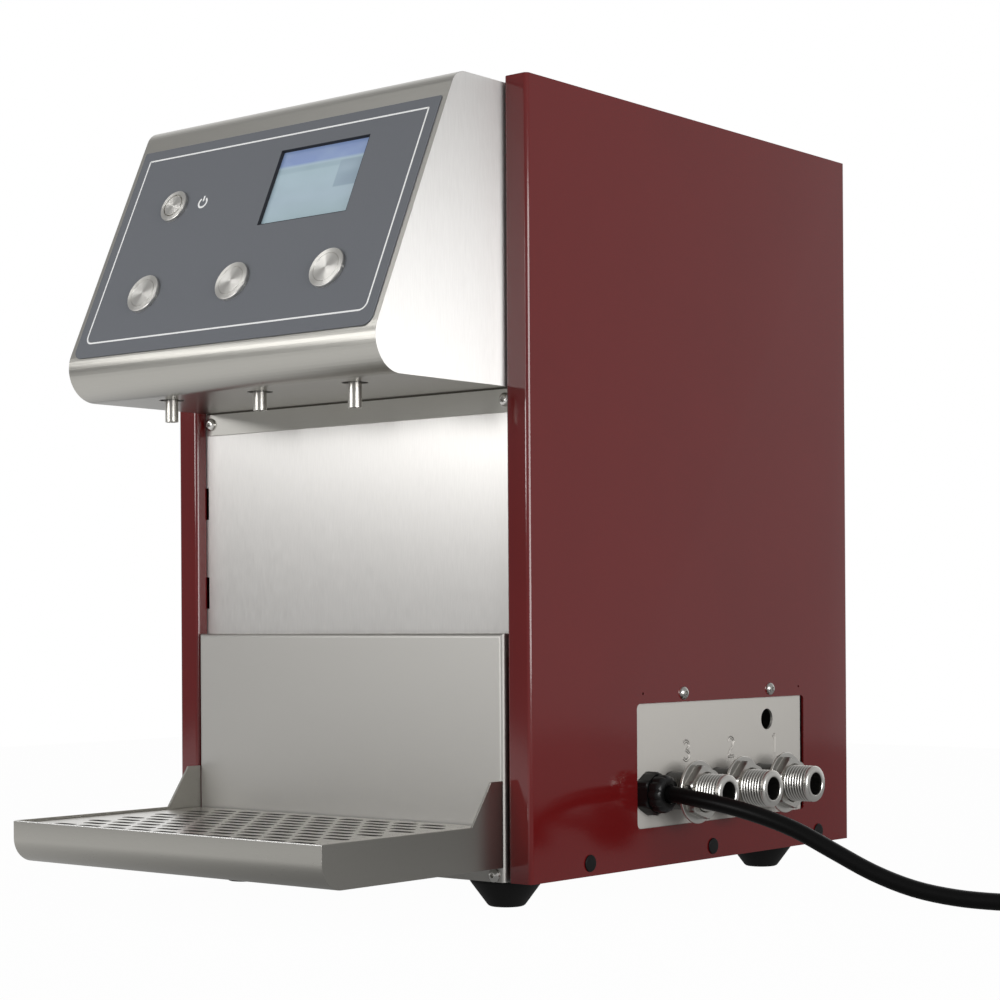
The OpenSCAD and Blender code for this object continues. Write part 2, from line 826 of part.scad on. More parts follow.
// Solenoid valve: brass body with a coil on top
module solenoid_valve(i) {
    top = valve_bottom + valve_h;
    color("#b08d3c") at_body() translate([drink_x[i], 0, 0]) union() {
        block([-valve_w / 2, valve_front, valve_bottom], [valve_w / 2, valve_back, top]);
        translate([0, (valve_front + valve_back) / 2, top]) {
            cylinder(r = coil_r, h = coil_h);
            translate([0, 0, coil_h]) cylinder(r = 5, h = 4);
        }
    }
}

// Shelf for the three valves, standing on the hood's underside
module valve_bracket() {
    x = drink_pitch + valve_w;
    y0 = valve_front + 2;
    y1 = splash_y - 2;
    color(satin) at_body() union() {
        block([-x, y0, valve_bottom - bracket_t], [x, y1, valve_bottom]);
        for (sx = [-1, 1])
            block([sx * (x - bracket_t / 2) - bracket_t / 2, y0, deck_z],
                  [sx * (x - bracket_t / 2) + bracket_t / 2, y1, valve_bottom - bracket_t]);
    }
}

module outlet_tubes() {
    color("silver") at_body()
        for (x = drink_x)
            translate([x, valve_back, port_z]) rotate([-90, 0, 0]) difference() {
                cylinder(r = tube_r, h = block_y0 - valve_back);
                translate([0, 0, -1]) cylinder(r = tube_r - tube_wall, h = block_y0 - valve_back + 2);
            }
}

element_x = 45;
sensor_y = 25;

// Cast heater block that the drinks flow through
module heater_block() {
    top = block_z + block_h;
    color("#b9bcc0") at_body() difference() {
        translate([0, 0, block_z]) linear_extrude(block_h)
            rounded_box2(-block_w / 2, block_y0, block_w / 2, block_y1, 10);
        for (sx = [-1, 1])
            translate([sx * element_x, (block_y0 + block_y1) / 2, top - element_depth])
                cylinder(r = element_r + fit_gap, h = element_depth + 1);
        translate([0, block_y0 + sensor_y, top - sensor_depth])
            cylinder(r = sensor_r + fit_gap, h = sensor_depth + 1);
    }
}

module heater_stand() {
    leg = 2;
    foot = 14;
    x = block_w / 2 - 2;
    y0 = block_y0 + 2;
    y1 = block_y1 - 2;
    color(satin) at_body() union() {
        block([-x, y0, block_z - leg], [x, y1, block_z]);
        for (sx = [-1, 1]) {
            leg_x = sx * (x - leg / 2);
            foot_x = sx * (x - foot / 2);
            block([leg_x - leg / 2, y0, floor_z], [leg_x + leg / 2, y1, block_z - leg]);
            block([foot_x - foot / 2, y0, floor_z], [foot_x + foot / 2, y1, floor_z + leg]);
        }
    }
}

module heating_elements() {
    top = block_z + block_h;
    color("silver") at_body()
        for (sx = [-1, 1])
            translate([sx * element_x, (block_y0 + block_y1) / 2, top - element_depth])
                cylinder(r = element_r, h = element_depth + element_top);
}

module temperature_sensor() {
    top = block_z + block_h;
    color("silver") at_body() translate([0, block_y0 + sensor_y, top - sensor_depth]) {
        cylinder(r = sensor_r, h = sensor_depth);
        translate([0, 0, sensor_depth]) cylinder(r = sensor_r + 2, h = 6);
    }
}

module safety_thermostat() {
    color(black) at_body() translate([-block_w / 2, (block_y0 + block_y1) / 2, block_z + block_h * 0.6])
        rotate([0, -90, 0]) union() {
            cylinder(r = 12, h = 8);
            translate([0, 0, 8]) cylinder(r = 5, h = 5);
        }
}

// Tube from an inlet inwards, up beside the heater block and into its side
module inlet_bar(r, extra) {
    run_x = block_w / 2 + tube_bend + 5;
    top_x = run_x - tube_bend;
    translate([run_x + tube_bend, 0, inlet_z]) along_plus_x()
        cylinder(r = r, h = inlet_in - run_x - tube_bend + extra);
    translate([run_x + tube_bend, 0, inlet_z + tube_bend]) rotate([90, 0, 0]) rotate([0, 0, 180])
        quarter(tube_bend, r);
    translate([run_x, 0, inlet_z + tube_bend]) cylinder(r = r, h = feed_z - inlet_z - 2 * tube_bend);
    translate([top_x, 0, feed_z - tube_bend]) rotate([90, 0, 0]) quarter(tube_bend, r);
    translate([block_w / 2 - extra, 0, feed_z]) along_plus_x()
        cylinder(r = r, h = top_x - block_w / 2 + extra);
}

module inlet_tubes() {
    color("silver") at_body()
        for (y = inlet_ys)
            translate([0, y, 0]) difference() {
                inlet_bar(tube_r, 0);
                inlet_bar(tube_r - tube_wall, 1);
            }
}

// Connections

// Inlet: a threaded stub through the connection plate, welded on by a collar, with a spigot inside
// and a relief under the nut's outer face, where the free thread begins
module inlet_fitting(i) {
    color(steel) at_body() translate([inlet_in, inlet_ys[i], inlet_z]) along_plus_x() difference() {
        union() {
            cylinder(r = spigot_r, h = spigot_l);
            translate([0, 0, spigot_l]) cylinder(r = collar_r, h = collar_t);
            translate([0, 0, spigot_l + collar_t]) cylinder(r = thread_r, h = inlet_end - plate_in);
        }
        translate([0, 0, -1]) cylinder(r = tube_r - tube_wall, h = inlet_end);
        translate([0, 0, spigot_l + 3]) cylinder(r = inlet_bore_r, h = inlet_end);
        translate([0, 0, nut_face - relief_w - inlet_in]) difference() {
            cylinder(r = thread_r + 1, h = relief_w);
            translate([0, 0, -1]) cylinder(r = thread_r - relief_d, h = relief_w + 2);
        }
    }
}

module inlet_nuts() {
    color(steel) at_body()
        for (y = inlet_ys)
            translate([wx + washer_off + washer_t, y, inlet_z]) along_plus_x() rotate([0, 0, 12])
                hex_nut(nut_flat, nut_t, thread_r + fit_gap);
}

module inlet_washers() {
    color(steel) at_body()
        for (y = inlet_ys)
            translate([wx + washer_off, y, inlet_z]) along_plus_x() difference() {
                cylinder(r = washer_r, h = washer_t);
                translate([0, 0, -1]) cylinder(r = thread_r + fit_gap, h = washer_t + 2);
            }
}

// How far the plate laps behind the side panel, and its spare hole from the opening's rear and upper edges
lap = 5;
lap_up = 7;
spare_back = 38.4;
spare_down = 13.1;

// Plate that carries the inlets and the gland, screwed behind the side panel's opening
module connection_plate() {
    y1 = cut_y + cut_w - plate_gap;
    z0 = base_z + max(base_lip + 1, cut_z - lap);
    color("#b9b6af") at_body() from_x(plate_in, sheet) difference() {
        rounded_box2(cut_y - lap, z0, y1, plate_screw_z + lap_up, cut_r);
        for (y = inlet_ys) translate([y, inlet_z]) circle(thread_r + fit_gap);
        translate([gland_y, inlet_z]) circle(gland_thread_r + fit_gap);
        translate([cut_y + cut_w - spare_back, base_z + cut_z + cut_h - spare_down]) circle(spare_r);
        for (y = plate_screw_y) translate([y, plate_screw_z]) circle(hole_r);
    }
}

module plate_screws() {
    color("silver") at_body()
        for (y = plate_screw_y)
            translate([wx, y, plate_screw_z]) along_plus_x() button_screw(screw_l - 2);
}

gland_thread_l = 9;

// Cable gland: a hexagonal body through the plate
module cable_gland() {
    color(black) at_body() translate([plate_x, gland_y, inlet_z]) along_plus_x() union() {
        intersection() {
            cylinder(r = gland_r, h = gland_body_l);
            cylinder(r = gland_flat / cos(30) + 0.4, h = gland_body_l, $fn = 6);
        }
        translate([0, 0, -gland_thread_l]) cylinder(r = gland_thread_r, h = gland_thread_l);
    }
}

// Domed nut that grips the cord
module gland_nut() {
    bore = cord_d / 2 + 0.3;
    dome = box_pts(bore, 0, dome_r, dome_l);
    color(black) at_body() translate([gland_face, gland_y, inlet_z]) along_plus_x()
        rotate_extrude() filleted(dome, [0, 0, 2.5, 0]);
}

module gland_locknut() {
    color(black) at_body() translate([plate_in - 3, gland_y, inlet_z]) along_plus_x()
        rotate([0, 0, 30]) hex_nut(10, 3, gland_thread_r + fit_gap);
}

supply_w = 110;
supply_d = 68;
supply_h = 38;

// Power supply on the floor behind the heater stand, between the rear feet's screws
module power_supply() {
    y1 = rear_in - sheet - 6;
    color(satin) at_body() translate([0, 0, floor_z]) linear_extrude(supply_h)
        rounded_box2(-supply_w / 2, y1 - supply_d, supply_w / 2, y1, 2);
}

// Terminal block for the mains lead, with a barrier between its poles
module terminal_block() {
    poles = 3;
    pole = 10;
    y = gland_y - 40;
    color("#d8d4c6") at_body() translate([in_x - 62, y, floor_z]) union() {
        block([0, 0, 0], [poles * pole + 2, 18, 12]);
        for (i = [0 : poles])
            block([i * pole, 0, 12], [i * pole + 2, 18, 20]);
    }
}

// Drip tray

function tray_pts(back, top) = box_pts(-tray_reach, tray_z, back, top);

// End of the tray with its ear standing up at the back
module tray_end() {
    filleted(tray_pts(tray_back, rim_z), [tray_roll, 0, 0, 0.5]);
    polygon([[tray_back, rim_z - 2], [tray_back, rim_z + ear_h], [tray_back - ear_top, rim_z + ear_h],
             [tray_back - ear_foot, rim_z - 0.5], [tray_back - ear_foot, rim_z - 2]]);
}

// Folded tray that hangs on the lower panel by two hooks, with ledges inside for the grille
module drip_tray() {
    color(steel) at_body() union() {
        difference() {
            along_x(hood_w) filleted(tray_pts(tray_back, rim_z), [tray_roll, 0, 0, 0.5]);
            along_x(hood_w - 2 * tray_t)
                filleted(inset(tray_pts(tray_back, rim_z + 20), tray_t), [tray_roll - tray_t, 0, 0, 0]);
            block([-hood_x + tray_t, tray_back - tray_t - 1, ledge_z],
                  [hood_x - tray_t, tray_back + 1, rim_z + 1]);
        }
        for (x = [-hood_x, hood_x - tray_t]) from_x(x, tray_t) tray_end();
        for (sx = [-1, 1], y = [-tray_reach * 0.78, -tray_reach * 0.28])
            block([sx * (hood_x - tray_t / 2) - (sx > 0 ? ledge_w : 0), y - ledge_l / 2, ledge_z - tray_t],
                  [sx * (hood_x - tray_t / 2) + (sx < 0 ? ledge_w : 0), y + ledge_l / 2, ledge_z]);
        for (sx = [-1, 1]) {
            block([sx * hook_x - hook_w / 2, tray_back - tray_t, hook_z],
                  [sx * hook_x + hook_w / 2, hook_back, hook_z + tray_t]);
            block([sx * hook_x - hook_w / 2, hook_back - tray_t, hook_z - hook_drop],
                  [sx * hook_x + hook_w / 2, hook_back, hook_z + tray_t]);
        }
    }
}

module slot2() {
    half = (slot_l - slot_w) / 2;
    translate([-half, -slot_w / 2]) square([2 * half, slot_w]);
    for (s = [-1, 1]) translate([s * half, 0]) circle(slot_w / 2);
}

// Loose grille with rows of slots, every other row set over by half a pitch
module drip_grille() {
    w = hood_w - 2 * tray_t - 2 * grille_gap;
    y0 = -tray_reach + tray_t + grille_gap;
    y1 = tray_back - tray_t - grille_gap;
    rows = floor((y1 - y0 - 2 * grille_edge - slot_w) / slot_row);
    start = (y0 + y1 - rows * slot_row) / 2;
    color(satin) at_body() translate([0, 0, ledge_z]) linear_extrude(tray_t) difference() {
        translate([-w / 2, y0]) square([w, y1 - y0]);
        for (j = [0 : rows]) {
            n = floor((w - 2 * grille_edge - slot_l) / slot_pitch) - j % 2;
            for (i = [0 : n])
                translate([(i - n / 2) * slot_pitch, start + j * slot_row]) slot2();
        }
    }
}

// Feet and small parts

// Rubber foot: a cone with a rounded lower edge and a pocket for its screw
foot_pocket_r = 4.6;
foot_pocket_d = 7;
foot_rim = 1.5;
foot_round = 3;

module feet() {
    outline = [[foot_pocket_r, 0], [foot_low_r, 0], [foot_r, foot_h - foot_rim], [foot_r, foot_h],
               [foot_pocket_r, foot_h]];
    color(black) at_body() foot_places() rotate_extrude() union() {
        filleted(outline, [0, foot_round, 0.8, 0, 0]);
        translate([hole_r, foot_pocket_d]) square([foot_pocket_r - hole_r + 0.1, foot_h - foot_pocket_d]);
    }
}

module foot_screws() {
    color("silver") at_body() foot_places() translate([0, 0, foot_pocket_d]) mirror([0, 0, 1])
        button_screw(foot_h - foot_pocket_d + sheet + 4);
}

module side_plugs() {
    color(black) at_body()
        for (sx = [0, 1])
            mirror([sx, 0, 0])
                for (y = plug_y)
                    translate([wx, y, plug_z]) along_plus_x() {
                        rotate_extrude() filleted(box_pts(0, 0, plug_r, plug_t), [0, 0, 0.6, 0]);
                        translate([0, 0, -plug_l]) cylinder(r = plug_stem_r, h = plug_l);
                    }
}

// Cord

// One ring of a swept tube: n corners about p, square to the direction t
function ring(p, t, r, n) =
    let (s = unit(cross(t, [0, 0, 1])), v = cross(s, t))
    [for (k = [0 : n - 1]) p + r * (cos(360 * k / n) * s + sin(360 * k / n) * v)];

// Direction of a path at point i, with the ends given
function heading(path, i, first, last) =
    i == 0 ? first : i == len(path) - 1 ? last : unit(path[i + 1] - path[i - 1]);

// A closed tube of n sides along a path, as triangles
module swept(path, r, n, first, last) {
    m = len(path);
    pts = [for (i = [0 : m - 1]) each ring(path[i], heading(path, i, first, last), r, n)];
    walls = [for (i = [0 : m - 2], k = [0 : n - 1])
        let (a = i * n + k, b = i * n + (k + 1) % n)
        each [[a, a + n, b], [b, a + n, b + n]]];
    end = (m - 1) * n;
    caps = [for (k = [1 : n - 2]) each [[0, k, k + 1], [end, end + k + 1, end + k]]];
    polyhedron(concat([pts[0], pts[0]], pts),
               [for (f = concat(walls, caps)) [f[0] + 2, f[1] + 2, f[2] + 2]]);
}

module cord_free() {
    color(black) at_body() swept(cord_route, cord_d / 2, 8, [1, 0, 0], [1, 0, 0]);
}

// Radius and height of the coil after winding through an angle: in, up a layer, out again
function coil_radius(a) =
    let (q = a - coil_in_a)
    q <= 0 ? coil_outer - coil_pitch * a / 360
    : q <= 90 ? coil_inner - coil_pitch * q / 360
    : q <= 180 ? coil_inner - coil_pitch * (180 - q) / 360
    : coil_inner + coil_pitch * (q - 180) / 360;

function coil_height(a) =
    let (q = max(0, min(1, (a - coil_in_a) / 180)))
    coil_end[2] + coil_pitch * q;

function coil_point(a) =
    [coil_centre[0] + coil_radius(a) * sin(a), coil_centre[1] - coil_radius(a) * cos(a), coil_height(a)];

coil_top = coil_point(coil_all_a);
tail_end = coil_top + [-tail_l, 2, 0];
coil_path = concat([coil_end],
                   [for (a = [0 : coil_step : coil_all_a]) coil_point(a)],
                   [coil_top + [-tail_l / 3, 1, 0], coil_top + [-tail_l * 2 / 3, 2, 0], tail_end]);

// Least clear gap between turns, taken on the path's points at least half a turn apart
self_gap = min([for (i = [0 : len(coil_path) - 1], j = [i + 12 : 1 : len(coil_path) - 1])
    norm(coil_path[i] - coil_path[j])]) - cord_d;
echo(coil_self_gap = self_gap);

function path_length(p) =
    [for (i = [1 : len(p) - 1]) norm(p[i] - p[i - 1])] * [for (i = [1 : len(p) - 1]) 1];
echo(cord_length = path_length(cord_route) + path_length(coil_path));

module cord_coil() {
    color(black) at_body() swept(coil_path, cord_d / 2, 6, [1, 0, 0], [-1, 0, 0]);
}

// Plain two-pin plug lying beside the coil
module mains_plug() {
    relief_l = 18;
    grip_l = 36;
    grip_r = 15.4;
    pin_r = 2.4;
    pin_l = 19;
    pin_off = 9.5;
    color(black) at_body() translate(tail_end) rotate([0, -90, 0]) {
        cylinder(r1 = 5.5, r2 = 7.5, h = relief_l);
        translate([0, 0, relief_l]) rotate_extrude()
            filleted([[0, 0], [grip_r * 0.8, 0], [grip_r, 10], [grip_r, grip_l], [0, grip_l]],
                     [0, 3, 4, 1.5, 0]);
        for (s = [-1, 1])
            translate([0, s * pin_off, relief_l + grip_l]) cylinder(r = pin_r, h = pin_l);
    }
}

// Band that holds the turns together
module cord_tie() {
    x0 = coil_centre[0] + coil_inner - cord_d / 2;
    x1 = coil_centre[0] + coil_outer + cord_d / 2;
    top = coil_end[2] + coil_pitch + cord_d / 2 + 0.3;
    color(black) at_body() translate([0, coil_centre[1] + tie_w / 2, 0]) rotate([90, 0, 0])
        linear_extrude(tie_w) difference() {
            rounded_box2(x0, 0, x1, top + tie_t, 3);
            rounded_box2(x0 + tie_t, tie_t, x1 - tie_t, top, 3 - tie_t);
        }
}

side_panel_left();
side_panel_right();
base_plate();
top_panel();
rear_panel();
rear_screws();
splash_panel();
splash_screws();
lower_panel();
lower_panel_screws();
hood_shell();
control_overlay();
display_window();
display_module();
control_board();
board_standoffs();
power_button_body();
power_button_cap();
dispense_button_body(0);  // dispense_button_body_1
dispense_button_body(1);  // dispense_button_body_2
dispense_button_body(2);  // dispense_button_body_3
dispense_button_cap(0);  // dispense_button_cap_1
dispense_button_cap(1);  // dispense_button_cap_2
dispense_button_cap(2);  // dispense_button_cap_3
button_nuts();
spout(0);  // spout_1
spout(1);  // spout_2
spout(2);  // spout_3
solenoid_valve(0);  // solenoid_valve_1
solenoid_valve(1);  // solenoid_valve_2
solenoid_valve(2);  // solenoid_valve_3
valve_bracket();
outlet_tubes();
heater_block();
heater_stand();
heating_elements();
temperature_sensor();
safety_thermostat();
inlet_tubes();
inlet_fitting(0);  // inlet_fitting_1
inlet_fitting(1);  // inlet_fitting_2
inlet_fitting(2);  // inlet_fitting_3
inlet_nuts();
inlet_washers();
connection_plate();
plate_screws();
cable_gland();
gland_nut();
gland_locknut();
power_supply();
terminal_block();
drip_tray();
drip_grille();
feet();
foot_screws();
side_plugs();
cord_free();
cord_coil();
mains_plug();
cord_tie();
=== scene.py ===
import json
import math

import bmesh
import bpy
import numpy as np
from mathutils import Matrix, Vector


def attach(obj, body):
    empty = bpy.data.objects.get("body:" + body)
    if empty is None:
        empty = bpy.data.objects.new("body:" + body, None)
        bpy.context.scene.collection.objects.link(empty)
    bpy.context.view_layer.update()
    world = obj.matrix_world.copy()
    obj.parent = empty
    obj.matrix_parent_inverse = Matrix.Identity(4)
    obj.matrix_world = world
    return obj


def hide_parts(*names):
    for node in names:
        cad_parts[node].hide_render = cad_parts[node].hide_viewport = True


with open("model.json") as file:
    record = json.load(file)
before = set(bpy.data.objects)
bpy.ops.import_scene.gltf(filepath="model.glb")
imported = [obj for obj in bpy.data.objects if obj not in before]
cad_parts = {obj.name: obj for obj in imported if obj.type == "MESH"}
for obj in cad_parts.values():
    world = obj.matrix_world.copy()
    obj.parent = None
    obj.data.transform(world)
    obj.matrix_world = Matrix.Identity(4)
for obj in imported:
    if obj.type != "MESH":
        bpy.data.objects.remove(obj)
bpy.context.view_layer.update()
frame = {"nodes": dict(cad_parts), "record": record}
cad = frame["nodes"]


# Camera: a long lens at the height of the cup bay, turned to the right front corner.
# Its place, turn and framing follow from the panels' edges in the photograph.
AZIMUTH, PITCH, ROLL = np.radians([39.506, 0.082, -0.343])
FOCAL_PX, AXIS_V, IMAGE_PX, SENSOR_MM = 2272.975, 617.67, 1000, 36
EYE = 0.84857, -1.005357, 0.151472

level = np.array([math.cos(AZIMUTH), math.sin(AZIMUTH), 0.0])
forward = np.append(math.cos(PITCH) * np.array([-math.sin(AZIMUTH), math.cos(AZIMUTH)]), math.sin(PITCH))
upward = np.cross(level, forward)
turn = np.eye(4)
turn[:3, 0] = math.cos(ROLL) * level + math.sin(ROLL) * upward
turn[:3, 1] = math.cos(ROLL) * upward - math.sin(ROLL) * level
turn[:3, 2] = -forward
turn[:3, 3] = EYE
lens = bpy.data.cameras.new("camera")
lens.sensor_width = SENSOR_MM
lens.lens = FOCAL_PX / IMAGE_PX * SENSOR_MM
lens.shift_y = AXIS_V / IMAGE_PX - 0.5
camera = bpy.data.objects.new("camera", lens)
bpy.context.scene.collection.objects.link(camera)
camera.matrix_world = Matrix(turn.tolist())
bpy.context.scene.camera = camera


# Studio: a white paper sweep with a pool of light painted behind the object, a white backdrop in a dimmer
# room, soft boxes at the right, the front and the upper left, and a strip light at the left. The sweep keeps
# a trace of the object's shadow.
def linear(code):
    """sRGB hex to linear RGBA: c / 12.92 up to 0.04045, else ((c + 0.055) / 1.055) ^ 2.4."""
    c = np.array([int(code[i:i + 2], 16) for i in (1, 3, 5)]) / 255
    return (*np.where(c <= 0.04045, c / 12.92, ((c + 0.055) / 1.055) ** 2.4), 1.0)


def add(tree, kind, links=None, **settings):
    """Adds a node: settings go to its properties or, by name, to its inputs, and links feed inputs."""
    made = tree.nodes.new(kind)
    for key, value in settings.items():
        if hasattr(made, key):
            setattr(made, key, value)
        else:
            made.inputs[key.replace("_", " ")].default_value = value
    for key, source in (links or {}).items():
        tree.links.new(source, made.inputs[key])
    return made


def finish(name, **settings):
    """A Principled material with these settings: returns it, its tree, shader and object coordinates."""
    material = bpy.data.materials.new(name)
    material.use_nodes = True
    tree = material.node_tree
    shader = tree.nodes["Principled BSDF"]
    for key, value in settings.items():
        shader.inputs[key.replace("_", " ")].default_value = value
    return material, tree, shader, add(tree, "ShaderNodeTexCoord").outputs["Object"]


def seen_rays(tree):
    """Rays that see a surface, the larger of the camera's and those through glass, and glossy rays."""
    rays = add(tree, "ShaderNodeLightPath").outputs
    seen = add(tree, "ShaderNodeMath", {0: rays["Is Camera Ray"], 1: rays["Is Transmission Ray"]},
               operation="MAXIMUM")
    return seen.outputs[0], rays["Is Glossy Ray"]


SHARP = math.radians(32)


def piece_of(name, points, faces, material, smooth=True):
    """A mesh object at the origin from an (n, 3) array of points and its faces."""
    mesh = bpy.data.meshes.new(name)
    mesh.from_pydata(np.asarray(points, float).tolist(), [], faces)
    mesh.polygons.foreach_set("use_smooth", np.full(len(mesh.polygons), smooth))
    mesh.materials.append(material)
    mesh.set_sharp_from_angle(angle=SHARP)
    piece = bpy.data.objects.new(name, mesh)
    bpy.context.scene.collection.objects.link(piece)
    return piece


# Paper: seen white, mirrored nearly white where a pool of light is painted in its glow, painted dimmer near
# the object as shade, and matt where light falls on it.
SWEEP_HALF, SWEEP_SEEN, SWEEP_MIRRORED = 1.4, 0.98, 0.9
POOL_DIM, POOL_LIT, POOL_FROM, POOL_FULL = 0.27, 0.95, 0.1, 0.45
sweep, tree, shader, where = finish("white paper sweep", Base_Color=linear("#c8c8c8"), Roughness=0.9)
seen, glossy = seen_rays(tree)
share = add(tree, "ShaderNodeMapRange", {"Value": glossy}, To_Max=SWEEP_MIRRORED)
share = add(tree, "ShaderNodeMix", {"Factor": seen, "A": share.outputs[0]}, B=SWEEP_SEEN)
# Painted light: the pool rises away from the object, and the dimmer glow near the object is painted shade.
ahead = add(tree, "ShaderNodeVectorMath", {0: where}, operation="DOT_PRODUCT")
ahead.inputs[1].default_value = forward * (1, -1, 0)
pool = add(tree, "ShaderNodeMapRange", {"Value": ahead.outputs["Value"]}, interpolation_type="SMOOTHSTEP",
           From_Min=POOL_FROM, From_Max=POOL_FULL, To_Min=POOL_DIM, To_Max=POOL_LIT)
level_seen = add(tree, "ShaderNodeMix", {"Factor": seen, "A": pool.outputs[0]}, B=1.0)
white = add(tree, "ShaderNodeEmission", {"Strength": level_seen.outputs[0]}, Color=(1, 1, 1, 1))
mixed = add(tree, "ShaderNodeMixShader", {"Fac": share.outputs[0], 1: shader.outputs[0], 2: white.outputs[0]})
tree.links.new(mixed.outputs[0], tree.nodes["Material Output"].inputs["Surface"])
corners = np.array([[-1, -1, 0], [1, -1, 0], [1, 1, 0], [-1, 1, 0]]) * SWEEP_HALF
floor = piece_of("floor", corners, [[0, 1, 2, 3]], sweep)

# Room: white where it is seen, and in mirrors brighter to the right, even above and white at the backdrop.
ROOM_LEFT, ROOM_RIGHT, ROOM_ABOVE, ROOM_SOFT = 0.25, 0.47, 0.38, 0.36
LEFT_END, RIGHT_END, ABOVE_FROM, ABOVE_FULL, BACKDROP_FROM, BACKDROP_FULL = -0.4, 0.5, 0.1, 0.5, 0.3, 0.8
world = bpy.data.worlds.new("studio air")
world.use_nodes = True
bpy.context.scene.world = world
tree = world.node_tree
air = tree.nodes["Background"]
air.inputs["Color"].default_value = (1, 1, 1, 1)
way = add(tree, "ShaderNodeTexCoord").outputs["Generated"]
heading = add(tree, "ShaderNodeSeparateXYZ", {0: way})
sides = add(tree, "ShaderNodeMapRange", {"Value": heading.outputs["X"]}, interpolation_type="SMOOTHSTEP",
            From_Min=LEFT_END, From_Max=RIGHT_END, To_Min=ROOM_LEFT, To_Max=ROOM_RIGHT)
room = add(tree, "ShaderNodeMapRange", {"Value": heading.outputs["Z"], "To Min": sides.outputs[0]},
           interpolation_type="SMOOTHSTEP", From_Min=ABOVE_FROM, From_Max=ABOVE_FULL, To_Max=ROOM_ABOVE)
ahead = add(tree, "ShaderNodeVectorMath", {0: way}, operation="DOT_PRODUCT")
ahead.inputs[1].default_value = forward
backdrop = add(tree, "ShaderNodeMapRange", {"Value": ahead.outputs["Value"]}, interpolation_type="SMOOTHSTEP",
               From_Min=BACKDROP_FROM, From_Max=BACKDROP_FULL)
mirrored = add(tree, "ShaderNodeMix", {"Factor": backdrop.outputs[0], "A": room.outputs[0]}, B=1.0)
seen, glossy = seen_rays(tree)
metal = add(tree, "ShaderNodeMix", {"Factor": glossy, "B": mirrored.outputs[0]}, A=ROOM_SOFT)
strength = add(tree, "ShaderNodeMix", {"Factor": seen, "A": metal.outputs[0]}, B=1.0)
tree.links.new(strength.outputs[0], air.inputs["Strength"])

LAMPS = [("right soft box", (1.4, -0.38, 0.36), (0.08, 0.0, 0.33), (1.0, 0.55), 11.8),
         ("front soft box", (-0.3, -1.35, 0.43), (0.0, -0.1, 0.3), (0.5, 0.3), 4.3),
         ("left strip light", (-0.75, -1.05, 0.545), (0.0, -0.1, 0.42), (0.8, 0.25), 1.9),
         ("upper left soft box", (-0.67, -0.92, 1.15), (0.0, -0.15, 0.33), (0.3, 0.3), 1.0)]
for name, place, target, size, power in LAMPS:
    lamp = bpy.data.lights.new(name, "AREA")
    lamp.shape, lamp.energy = "RECTANGLE", power
    lamp.size, lamp.size_y = size
    box = bpy.data.objects.new(name, lamp)
    bpy.context.scene.collection.objects.link(box)
    box.location = place
    box.rotation_euler = (Vector(target) - Vector(place)).to_track_quat("-Z", "Y").to_euler()

bpy.context.scene.view_settings.view_transform = "Standard"


# Mains lead: a round black rubber cable, 9 mm thick, out of the gland, down to the counter and to the
# right, where the rest of its 2 m is wound into two layers of turns up to its moulded plug.
BODY = np.array([-18.25, -90.6, 0.0])
ROUTE = np.array([[139, 104, 56], [150, 104, 56], [162, 104, 54.5], [182, 105, 51.5], [202, 107.5, 47],
                  [222, 112, 40], [242, 117.5, 29.5], [262, 123.5, 19], [282, 130, 11.5], [302, 137.5, 7.5],
                  [322, 145.5, 6], [342, 154, 6], [360, 161, 6], [374, 164.8, 6], [386, 166, 6],
                  [396, 166, 6]], float)
CORD_D, COIL_OUTER, COIL_PITCH, COIL_TURNS, COIL_STEP, TAIL = 9.0, 62.0, 9.6, 2.5, 7.5, 62.0


def placed(points):
    """Millimetres from the middle of the front flanges' plane on the floor, to metres in the row's frame."""
    return (np.asarray(points, float) + BODY) / 1000


def smooth_line(points, steps):
    """Catmull-Rom line through the points, with so many steps between each two of them."""
    p = np.vstack([2 * points[0] - points[1], points, 2 * points[-1] - points[-2]])
    a, b, c, d = p[:-3, None], p[1:-2, None], p[2:-1, None], p[3:, None]
    t = np.linspace(0, 1, steps, endpoint=False)[None, :, None]
    inner = 0.5 * (2 * b + (c - a) * t + (2 * a - 5 * b + 4 * c - d) * t ** 2
                   + (3 * b - a - 3 * c + d) * t ** 3)
    return np.vstack([inner.reshape(-1, 3), points[-1:]])


# The coil winds inwards on the counter, climbs one pitch in half a turn and winds outwards on top.
swept = np.arange(0, 720 * COIL_TURNS + 180 + 1, COIL_STEP)
past = swept - 360 * COIL_TURNS
inner_r = COIL_OUTER - COIL_TURNS * COIL_PITCH
reverse = np.where(past <= 90, past, 180 - past)
coil_r = np.where(past <= 0, COIL_OUTER - COIL_PITCH * swept / 360, inner_r - COIL_PITCH * reverse / 360)
coil_z = ROUTE[-1, 2] + COIL_PITCH * np.clip(past / 180, 0, 1)
centre = ROUTE[-1, :2] + [CORD_D, COIL_OUTER]
wound = np.radians(swept)
coil = np.stack([centre[0] + coil_r * np.sin(wound), centre[1] - coil_r * np.cos(wound), coil_z], 1)
tail = coil[-1] + np.array([[-TAIL / 3, 1, 0], [-TAIL * 2 / 3, 2, 0], [-TAIL, 2, 0]])
line = placed(np.vstack([smooth_line(ROUTE, 4), coil[:-1], smooth_line(np.vstack([coil[-1], tail]), 3)]))


